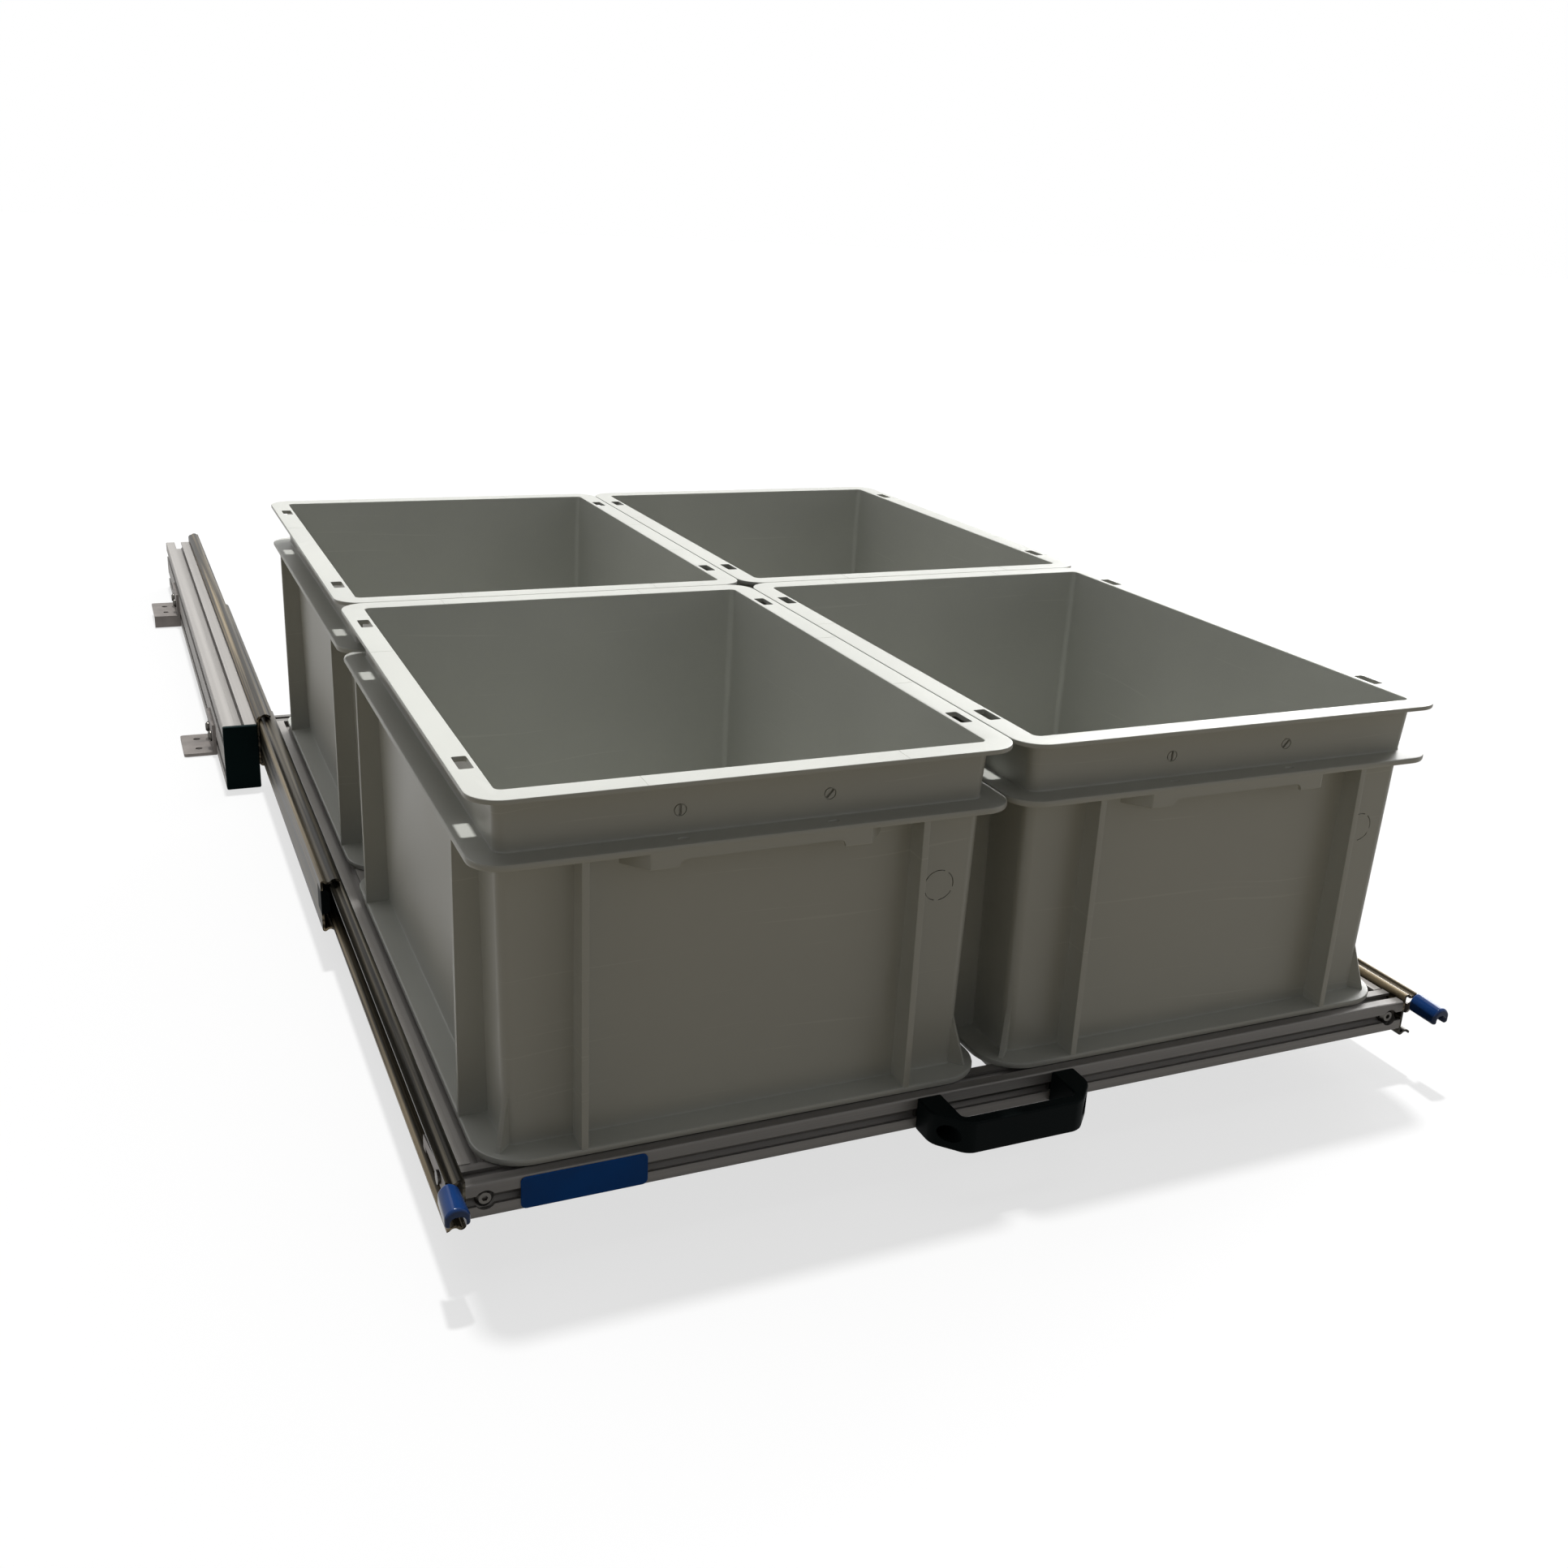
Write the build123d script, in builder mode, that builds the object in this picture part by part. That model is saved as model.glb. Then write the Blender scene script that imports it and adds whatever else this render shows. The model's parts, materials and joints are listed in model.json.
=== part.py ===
from build123d import *
import os
from math import acos, cos, degrees, radians, sin

os.makedirs("parts", exist_ok=True)

# Bins: two by two stacking containers
bin_pitch_x = 300.0
bin_pitch_y = 400.0
bin_play = 0.8
bin_height = 202.0
foot_drop = 18.0
bin_wall = 2.2
floor_wall = 3.0
rim_width = 15.0
rim_thick = 2.8
rim_radius = 18.0
opening_radius = 4.0
collar_height = 33.0
collar_draft = 1.5
flange_thick = 4.0
body_draft = 2.6
body_radius = 6.5
inner_radius = 4.0
ledge_thick = 4.0
ledge_inset = 1.0
ledge_radius = 28.0
foot_inset = 2.5
rib_thick = 4.0
front_rib_offset = 94.0
side_rib_inset = 55.0
gusset_height = 38.0
gusset_thick = 3.0
slot_hole_long = 19.0
slot_hole_wide = 7.0
slot_hole_edge = 4.7
slot_hole_inset = 59.0
grip_width = 122.0
grip_lobe = 15.0
grip_wall = 2.4
grip_drop = 4.0
grip_lobe_drop = 8.5
grip_splay = 13.0

# Moving frame of slotted beams
beam = 20.0
beam_slot = 6.2
beam_lip = 1.8
beam_cavity = 11.5
beam_slot_depth = 6.0
beam_core = 4.3
beam_corner = 1.2
seat_gap = 0.3
frame_reach_x = 8.0
frame_reach_y = 5.0

# Fixed side profiles
rail_wide = 30.0
rail_tall = 60.0
rail_length = 845.0
rail_slot = 8.2
rail_lip = 2.2
rail_cavity = 16.5
rail_slot_depth = 9.0
rail_core = 6.8
rail_corner = 1.5
rail_window = 10.0
cap_thick = 4.0
cap_peg = 8.0
cap_fit = 0.1

# Ball slides
travel = 765.0
slide_length = 860.0
middle_length = 840.0
drawer_length = 810.0
slide_above_rail_base = 43.0
ball_r = 2.5
race_gap = 0.3
inner_sheet = 1.6
outer_sheet = 1.8
drawer_half = 14.75
drawer_race_depth = 1.7
race_lip = 1.6
race_lean = 45.0
middle_lip_angle = 150.0
middle_corner = 1.1
outer_race_depth = 1.7
slide_thick = 19.1
outer_lip = 0.9
cage_thick = 0.8
cage_wide = 7.0
cage_length = 380.0
cage_ball_gap = 0.15
cage_inset = 12.0
balls_per_row = 4

# Front furniture
handle_base = 104.0
handle_front = 73.0
handle_out = 34.0
handle_side = 17.0
handle_foot = 6.6
handle_bar = 8.0
handle_tall = 20.0
handle_grip_gap = 74.0
handle_inner = 3.0
plate_long = 68.0
plate_tall = 18.5
plate_thick = 1.0
plate_centre = 246.0
lever_out = 24.0
lever_gap = 1.0
lever_wide = 13.0
lever_tall = 11.5
lever_wall = 2.4
lever_low = 4.0
lever_arm_thick = 2.0
lever_arm_rear = 70.0
lever_pivot_back = 28.0
lever_pivot_up = 0.0
lever_pin_r = 2.5
pin_fit = 0.2
spring_strip = 1.0
spring_wide = 2.4
spring_loop = 3.3
spring_leg = 22.0
spring_open = 20.0

# Brackets
bracket_long = 60.0
bracket_rear_long = 72.0
bracket_out = 30.0
bracket_thick = 3.0
bracket_up = 30.0
bracket_front_at = 130.0
bracket_rear_at = 195.0
bracket_hole = 6.5
bracket_hole_pitch = 30.0
bracket_hole_out = 15.5
bracket_rear_lift = 11.0
bracket_rear_bolt = 25.0
bracket_corner = 3.0

# Screws
end_head_r = 5.0
end_head_tall = 3.4
end_pocket_r = 5.6
end_pocket_deep = 5.0
button_r = 4.75
button_tall = 2.6
m5_r = 2.05
m5_hole = 2.7
m6_r = 2.9
m6_hole = 3.2
socket_r = 1.7
socket_deep = 1.6
nut_thick_rail = 3.4
nut_thick_beam = 2.6
nut_wide_rail = 11.0
nut_wide_beam = 8.0
nut_long = 14.0

# Places worked out from the sizes above
frame_half = bin_pitch_x + frame_reach_x
frame_depth = 2 * (bin_pitch_y + frame_reach_y)
front_most = -(handle_out + travel + slide_length) / 2
frame_front = front_most + handle_out
frame_y = frame_front + frame_depth / 2
rail_front = frame_front + travel
slide_z = slide_above_rail_base
beam_top = slide_z + beam / 2
bin_seat = beam_top + seat_gap
middle_front = frame_front + travel / 2
rail_inner_x = frame_half + slide_thick
rail_x = rail_inner_x + rail_wide / 2
rail_outer_x = rail_inner_x + rail_wide
sides = (("left", -1), ("right", 1))


def section_plane(side, y):
    """Plane across a slide at y: its x runs outward from the frame, its y runs up."""
    return Plane(origin=(side * frame_half, y, slide_z), x_dir=(side, 0, 0), z_dir=(0, -side, 0))


def save(piece, name):
    piece.part.label = name
    export_step(piece.part, f"parts/{name}.step")


# Slotted extrusions
def slot_cut(half, opening, lip, cavity, depth, shift=0.0):
    """One T slot opening upward in a section whose face lies at +half."""
    floor_half = opening / 2 - 0.6
    points = [
        (shift - opening / 2, half + 1), (shift - opening / 2, half - lip), (shift - cavity / 2, half - lip),
        (shift - cavity / 2, half - lip - 1.2), (shift - floor_half, half - depth),
        (shift + floor_half, half - depth), (shift + cavity / 2, half - lip - 1.2),
        (shift + cavity / 2, half - lip), (shift + opening / 2, half - lip), (shift + opening / 2, half + 1),
    ]
    return Polyline(points, close=True)


def slotted_section(wide, tall, corner, cuts, cores, core_d, window=0.0):
    """Extrusion section about the origin: cuts are (turn, half, shift, slot sizes)."""
    with BuildSketch(Plane.XY) as section:
        RectangleRounded(wide, tall, corner)
        for turn, half, shift, opening, lip, cavity, depth in cuts:
            with BuildSketch(mode=Mode.PRIVATE) as cut:
                with BuildLine():
                    slot_cut(half, opening, lip, cavity, depth, shift)
                make_face()
            with Locations(Location((0, 0, 0), (0, 0, turn))):
                add(cut.sketch, mode=Mode.SUBTRACT)
        with Locations(*cores):
            Circle(core_d / 2, mode=Mode.SUBTRACT)
        if window:
            Rectangle(window, window, mode=Mode.SUBTRACT)
    return section.sketch


beam_slots = (beam_slot, beam_lip, beam_cavity, beam_slot_depth)
beam_section = slotted_section(
    beam, beam, beam_corner, [(turn, beam / 2, 0.0, *beam_slots) for turn in (0, 90, 180, 270)],
    [(0, 0)], beam_core)

rail_slots = (rail_slot, rail_lip, rail_cavity, rail_slot_depth)
rail_pitch = rail_tall / 2
rail_section = slotted_section(
    rail_wide, rail_tall, rail_corner,
    [(0, rail_tall / 2, 0.0, *rail_slots), (180, rail_tall / 2, 0.0, *rail_slots),
     (90, rail_wide / 2, rail_pitch / 2, *rail_slots), (90, rail_wide / 2, -rail_pitch / 2, *rail_slots),
     (270, rail_wide / 2, rail_pitch / 2, *rail_slots), (270, rail_wide / 2, -rail_pitch / 2, *rail_slots)],
    [(0, rail_pitch / 2), (0, -rail_pitch / 2)], rail_core, rail_window)


# Moving frame
def beam_along_x(name, length, y):
    with BuildPart() as piece:
        with BuildSketch(Plane(origin=(-length / 2, y, slide_z), x_dir=(0, 1, 0), z_dir=(1, 0, 0))):
            add(beam_section)
        extrude(amount=length)
        if abs(y - frame_y) > beam:
            face_y = y - beam / 2 if y < frame_y else y + beam / 2
            out = 1 if y < frame_y else -1
            with Locations(*[Location((s * (frame_half - beam / 2), face_y, slide_z), (90 * out, 0, 0))
                             for s in (-1, 1)]):
                CounterBoreHole(m5_hole, end_pocket_r, end_pocket_deep, beam)
    save(piece, name)


def beam_along_y(name, x, length):
    with BuildPart() as piece:
        with BuildSketch(Plane(origin=(x, frame_y + length / 2, slide_z), x_dir=(1, 0, 0), z_dir=(0, -1, 0))):
            add(beam_section)
        extrude(amount=length)
    save(piece, name)


beam_along_x("front_beam", 2 * frame_half, frame_front + beam / 2)
beam_along_x("rear_beam", 2 * frame_half, frame_front + frame_depth - beam / 2)
beam_along_x("cross_beam", 2 * frame_half - 2 * beam, frame_y)
for side_name, side in sides:
    beam_along_y(f"{side_name}_beam", side * (frame_half - beam / 2), frame_depth - 2 * beam)


# Screws and nuts
def button_screw(length, head_r=button_r, head_tall=button_tall, shank_r=m5_r):
    """Button head socket screw: under-head face at z = 0, head upward."""
    with BuildPart() as screw:
        with BuildSketch(Plane.XZ) as outline:
            with BuildLine():
                Polyline((0, -length), (shank_r, -length), (shank_r, 0), (head_r, 0), (head_r, head_tall * 0.4),
                         (head_r * 0.65, head_tall), (0, head_tall), close=True)
            make_face()
        revolve(axis=Axis.Z)
        with BuildSketch(Plane.XY.offset(head_tall)):
            RegularPolygon(socket_r, 6)
        extrude(amount=-socket_deep, mode=Mode.SUBTRACT)
    return screw.part


def slot_nut(wide, long, thick, hole_r):
    """Slot nut lying in XY with its clamping face at z = 0 and its body below."""
    with BuildPart() as nut:
        with BuildSketch(Plane.XY):
            Rectangle(wide, long)
            Circle(hole_r, mode=Mode.SUBTRACT)
        extrude(amount=-thick)
    return nut.part


def group(name, piece, places):
    with BuildPart() as many:
        with Locations(*places):
            add(piece)
    save(many, name)


end_screw = button_screw(24.0, end_head_r, end_head_tall)
end_seats = ((frame_front + end_pocket_deep, 90), (frame_front + frame_depth - end_pocket_deep, -90))
group("beam_end_screws", end_screw,
      [Location((s * (frame_half - beam / 2), y, slide_z), (turn, 0, 0)) for y, turn in end_seats for s in (-1, 1)])


# Slide members, drawn as the path of the sheet's middle from the flange lip to the web
race_line = ball_r + race_gap
race_in = race_line + inner_sheet / 2
race_out = race_line + outer_sheet / 2
drawer_flat = drawer_half - inner_sheet / 2
inner_ball_w = drawer_flat - drawer_race_depth + race_in
drawer_lean = degrees(acos(1 - drawer_race_depth / (race_in + race_lip)))
drawer_reach = (race_in + race_lip) * sin(radians(drawer_lean))
drawer_corner = race_lip
inner_ball_u = inner_sheet / 2 + drawer_corner + drawer_reach
outer_ball_u = inner_ball_u + 2 * race_in * cos(radians(race_lean))
outer_ball_w = inner_ball_w + 2 * race_in * sin(radians(race_lean))
outer_flat = outer_ball_w + race_out - outer_race_depth
outer_lean = degrees(acos(1 - outer_race_depth / (race_out + race_lip)))
outer_reach = (race_out + race_lip) * sin(radians(outer_lean))
outer_web_u = slide_thick - outer_sheet / 2
outer_corner = outer_web_u - outer_ball_u - outer_reach
hairpin_u = outer_ball_u + (race_in + middle_corner) * cos(radians(race_lean))
hairpin_w = outer_ball_w - (race_in + middle_corner) * sin(radians(race_lean))
middle_web_u = hairpin_u + middle_corner


def drawer_member_path():
    web_top = drawer_flat - drawer_corner
    web_u = inner_sheet / 2
    far = web_u + drawer_corner + 2 * drawer_reach
    with BuildLine() as path:
        Line((web_u, 0), (web_u, web_top))
        CenterArc((web_u + drawer_corner, web_top), drawer_corner, 180, -90)
        CenterArc((web_u + drawer_corner, drawer_flat - race_lip), race_lip, 90, -drawer_lean)
        CenterArc((inner_ball_u, inner_ball_w), race_in, 270 - drawer_lean, 2 * drawer_lean)
        CenterArc((far, drawer_flat - race_lip), race_lip, 90 + drawer_lean, -drawer_lean)
    return path.line


def middle_member_path():
    with BuildLine() as path:
        CenterArc((inner_ball_u, inner_ball_w), race_in, middle_lip_angle, race_lean - middle_lip_angle)
        CenterArc((outer_ball_u, outer_ball_w), race_in, 180 + race_lean, 180 - 2 * race_lean)
        CenterArc((hairpin_u, hairpin_w), middle_corner, 180 - race_lean, race_lean - 180)
        Line((middle_web_u, hairpin_w), (middle_web_u, 0))
    return path.line


def outer_member_path():
    near_u = outer_ball_u - outer_reach
    far_u = outer_ball_u + outer_reach
    with BuildLine() as path:
        Line((near_u - outer_lip, outer_flat), (near_u, outer_flat))
        CenterArc((near_u, outer_flat + race_lip), race_lip, 270, outer_lean)
        CenterArc((outer_ball_u, outer_ball_w), race_out, 90 + outer_lean, -2 * outer_lean)
        CenterArc((far_u, outer_flat + race_lip), race_lip, 270 - outer_lean, outer_lean)
        CenterArc((far_u, outer_flat - outer_corner), outer_corner, 90, -90)
        Line((outer_web_u, outer_flat - outer_corner), (outer_web_u, 0))
    return path.line


def member_section(path, sheet):
    with BuildSketch(Plane.XY) as section:
        with BuildLine():
            add(path)
            mirror(path, about=Plane.XZ)
        trace(line_width=sheet)
    return section.sketch


drawer_section = member_section(drawer_member_path(), inner_sheet)
middle_section = member_section(middle_member_path(), inner_sheet)
outer_section = member_section(outer_member_path(), outer_sheet)

slide_screw_w = rail_pitch * 1.5 - slide_z
outer_screw_ys = [rail_front + 60 + step * (rail_length - 120) / 3 for step in range(4)]
drawer_screw_ys = [frame_front + 150 + step * (frame_depth - 300) / 2 for step in range(3)]
csk_r = 4.6
stop_low = -6.0
stop_high = 12.0
stop_long = 16.0

for side_name, side in sides:
    with BuildPart() as outer:
        extrude(section_plane(side, rail_front) * outer_section, amount=-side * slide_length)
        for y in outer_screw_ys:
            with Locations(Location((side * (rail_inner_x - outer_sheet), y, slide_z + slide_screw_w),
                                    (0, -90 * side, 0))):
                CounterSinkHole(m5_hole, csk_r, outer_sheet * 2, 90)
    save(outer, f"{side_name}_outer_member")

    with BuildPart() as middle:
        extrude(section_plane(side, middle_front) * middle_section, amount=-side * middle_length)
        web_x = side * (frame_half + middle_web_u)
        with Locations((web_x, middle_front, slide_z + (stop_low + stop_high) / 2)):
            Box(2 * inner_sheet, 2 * stop_long, stop_high - stop_low, mode=Mode.SUBTRACT)
    save(middle, f"{side_name}_middle_member")

    with BuildPart() as drawer:
        extrude(section_plane(side, frame_front) * drawer_section, amount=-side * drawer_length)
        with Locations(*[Location((side * frame_half, y, slide_z), (0, 90, 0)) for y in drawer_screw_ys]):
            Hole(m5_hole, inner_sheet * 4)
        pivot_y = frame_front + lever_pivot_back
        with Locations(Location((side * frame_half, pivot_y, slide_z + lever_pivot_up), (0, 90, 0))):
            Hole(lever_pin_r, inner_sheet * 4)
    save(drawer, f"{side_name}_drawer_member")

    with BuildPart() as stop:
        stop_u0 = inner_ball_u + drawer_reach + race_gap + 0.3
        stop_u1 = middle_web_u + inner_sheet / 2
        with BuildSketch(section_plane(side, middle_front)):
            with BuildLine():
                Polyline((stop_u0, stop_low + 2), (stop_u0, stop_high - 2), (stop_u0 + 2, stop_high),
                         (stop_u1, stop_high), (stop_u1, stop_low), (stop_u0 + 2, stop_low), close=True)
            make_face()
        extrude(amount=-side * stop_long)
    save(stop, f"{side_name}_middle_stop")


# Ball cages: two thin strips to a side, each with its row of balls
def cage(name, side, y0, u, w):
    pitch = (cage_length - 2 * cage_inset) / (balls_per_row - 1)
    ball_places = [(side * (frame_half + u), y0 + cage_inset + step * pitch, slide_z + up * w)
                   for up in (-1, 1) for step in range(balls_per_row)]
    with BuildPart() as strips:
        with Locations(*[(side * (frame_half + u), y0 + cage_length / 2, slide_z + up * w) for up in (-1, 1)]):
            Box(cage_wide, cage_length, cage_thick)
        with Locations(*ball_places):
            Hole(ball_r + cage_ball_gap, cage_thick * 2)
    save(strips, name)
    return ball_places


outer_cage_y = rail_front + (middle_front + middle_length - rail_front - cage_length) / 2
inner_cage_y = middle_front + (frame_front + drawer_length - middle_front - cage_length) / 2
outer_balls = []
inner_balls = []
for side_name, side in sides:
    outer_balls += cage(f"{side_name}_outer_cage", side, outer_cage_y, outer_ball_u, outer_ball_w)
    inner_balls += cage(f"{side_name}_inner_cage", side, inner_cage_y, inner_ball_u, inner_ball_w)

with BuildPart() as ball:
    Sphere(ball_r)
group("outer_balls", ball.part, [Location(place) for place in outer_balls])
group("inner_balls", ball.part, [Location(place) for place in inner_balls])


# Slide screws and their slot nuts
with BuildPart() as csk_screw:
    with BuildSketch(Plane.XZ):
        with BuildLine():
            Polyline((0, -9), (m5_r, -9), (m5_r, -(csk_r - m5_r)), (csk_r - 0.1, 0), (0, 0), close=True)
        make_face()
    revolve(axis=Axis.Z)
    with BuildSketch(Plane.XY):
        RegularPolygon(socket_r, 6)
    extrude(amount=-socket_deep, mode=Mode.SUBTRACT)

group("outer_member_screws", csk_screw.part,
      [Location((side * (rail_inner_x - outer_sheet), y, slide_z + slide_screw_w), (0, -90 * side, 0))
       for _, side in sides for y in outer_screw_ys])
drawer_screw = button_screw(7.0)
group("drawer_member_screws", drawer_screw,
      [Location((side * (frame_half + inner_sheet), y, slide_z), (0, 90 * side, 0))
       for _, side in sides for y in drawer_screw_ys])
beam_nut = slot_nut(nut_wide_beam, nut_long, nut_thick_beam, m5_r + 0.05)
group("beam_slot_nuts", beam_nut,
      [Location((side * (frame_half - beam_lip), y, slide_z), (0, 90 * side, 0))
       for _, side in sides for y in drawer_screw_ys])


# Fixed side profiles, caps and brackets
for side_name, side in sides:
    with BuildPart() as rail:
        with BuildSketch(Plane(origin=(side * rail_x, rail_front, rail_tall / 2), x_dir=(1, 0, 0),
                               z_dir=(0, -1, 0))):
            add(rail_section)
        extrude(amount=-rail_length)
        rear_y = rail_front + rail_length - bracket_rear_at
        with Locations(*[Location((side * rail_outer_x, rear_y + s * bracket_hole_pitch / 2, bracket_rear_bolt),
                                  (0, 90 * side, 0)) for s in (-1, 1)]):
            Hole(m6_r + 0.05, rail_wide / 2 - rail_window / 2)
    save(rail, f"{side_name}_rail_profile")

    with BuildPart() as cap:
        with BuildSketch(Plane(origin=(side * rail_x, rail_front, rail_tall / 2), x_dir=(1, 0, 0),
                               z_dir=(0, -1, 0))):
            RectangleRounded(rail_wide, rail_tall, rail_corner)
        extrude(amount=cap_thick)
        chamfer(cap.faces().sort_by(Axis.Y)[0].edges(), 0.6)
        with BuildSketch(Plane(origin=(side * rail_x, rail_front, rail_tall / 2), x_dir=(1, 0, 0),
                               z_dir=(0, -1, 0))):
            with Locations((0, rail_pitch / 2), (0, -rail_pitch / 2)):
                Circle(rail_core / 2 - cap_fit)
        extrude(amount=-cap_peg)
    save(cap, f"{side_name}_rail_cap")

bracket_bolts = []
slot_nut_places = []
front_bracket = ("front", rail_front + bracket_front_at, bracket_long, 0.0, rail_pitch / 2)
rear_bracket = ("rear", rail_front + rail_length - bracket_rear_at, bracket_rear_long, bracket_rear_lift,
                bracket_rear_bolt)
for side_name, side in sides:
    for end, y, long, lift, bolt_z in (front_bracket, rear_bracket):
        leg_top = lift + bracket_thick
        with BuildPart() as bracket:
            with BuildSketch(Plane(origin=(side * rail_outer_x, y - long / 2, 0), x_dir=(side, 0, 0),
                                   z_dir=(0, -side, 0))):
                with BuildLine():
                    Polyline((0, lift), (0, bolt_z + bracket_up / 2), (bracket_thick, bolt_z + bracket_up / 2),
                             (bracket_thick, leg_top), (bracket_out, leg_top), (bracket_out, lift), close=True)
                make_face()
            extrude(amount=-side * long)
            if lift:
                with Locations((side * (rail_outer_x + bracket_out / 2), y - long / 2 + bracket_thick / 2,
                                leg_top / 2)):
                    Box(bracket_out, bracket_thick, leg_top)
            upright = bracket.edges().filter_by(Axis.Z)
            tips = [edge for edge in upright if abs(edge.center().X) > rail_outer_x + bracket_out - 0.1]
            fillet([edge for edge in tips if not lift or edge.center().Y > y], bracket_corner)
            holes_x = side * (rail_outer_x + bracket_hole_out)
            with Locations(*[(holes_x, y + s * bracket_hole_pitch / 2, leg_top) for s in (-1, 1)]):
                Hole(bracket_hole / 2, bracket_thick * 1.5)
            bolts = [Location((side * (rail_outer_x + bracket_thick), y + s * bracket_hole_pitch / 2, bolt_z),
                              (0, 90 * side, 0)) for s in (-1, 1)]
            with Locations(*bolts):
                Hole(m6_hole, bracket_thick * 1.5)
        save(bracket, f"{side_name}_{end}_bracket")
        bracket_bolts += bolts
        if not lift:
            slot_nut_places += [Location((side * (rail_outer_x - rail_lip), y + s * bracket_hole_pitch / 2, bolt_z),
                                         (0, 90 * side, 0)) for s in (-1, 1)]

bracket_bolt = button_screw(11.0, 5.25, 3.3, m6_r)
group("bracket_bolts", bracket_bolt, bracket_bolts)
rail_nut = slot_nut(nut_wide_rail, nut_long, nut_thick_rail, m6_r + 0.05)
slot_nut_places += [Location((side * (rail_inner_x + rail_lip), y, slide_z + slide_screw_w), (0, -90 * side, 0))
                    for _, side in sides for y in outer_screw_ys]
group("rail_slot_nuts", rail_nut, slot_nut_places)


# Handle, plate and levers
with BuildPart() as handle:
    with BuildSketch(Plane(origin=(0, frame_front, slide_z - handle_tall / 2), x_dir=(1, 0, 0),
                           z_dir=(0, 0, 1))) as handle_plan:
        with BuildLine():
            outer = [(handle_base / 2, 0), (handle_base / 2, -handle_side), (handle_front / 2, -handle_out)]
            inner = [(handle_grip_gap / 2, 0), (handle_grip_gap / 2, -handle_out + handle_bar + handle_inner),
                     (handle_grip_gap / 2 - handle_inner, -handle_out + handle_bar)]
            Polyline([(-x, y) for x, y in outer] + outer[::-1] + inner + [(-x, y) for x, y in inner[::-1]],
                     close=True)
        make_face()
    extrude(amount=handle_tall)
    fillet(handle.edges().filter_by(Axis.Z).sort_by(Axis.Y)[:2], 3.0)
    handle_screw_x = (handle_base + handle_grip_gap) / 4
    with Locations(*[Location((s * handle_screw_x, frame_front - handle_out, slide_z), (90, 0, 0))
                     for s in (-1, 1)]):
        CounterBoreHole(m5_hole, button_r + 0.4, handle_out - handle_foot, handle_out + 1)
save(handle, "handle")

group("handle_screws", button_screw(12.0),
      [Location((s * handle_screw_x, frame_front - handle_foot, slide_z), (90, 0, 0)) for s in (-1, 1)])
group("handle_slot_nuts", beam_nut,
      [Location((s * handle_screw_x, frame_front + beam_lip, slide_z), (90, 0, 90)) for s in (-1, 1)])

with BuildPart() as plate:
    with BuildSketch(Plane(origin=(-plate_centre, frame_front, slide_z), x_dir=(1, 0, 0), z_dir=(0, -1, 0))):
        RectangleRounded(plate_long, plate_tall, 3.0)
    extrude(amount=plate_thick)
save(plate, "front_plate")



def grip_outline(wide):
    with BuildSketch(Plane.XY) as outline:
        with Locations((grip_u + lever_wide / 2, lever_low + lever_tall / 2)):
            Rectangle(wide, lever_tall)
        fillet(outline.vertices().sort_by(Axis.Y)[-2:], 3.0)
    return outline.sketch


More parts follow.
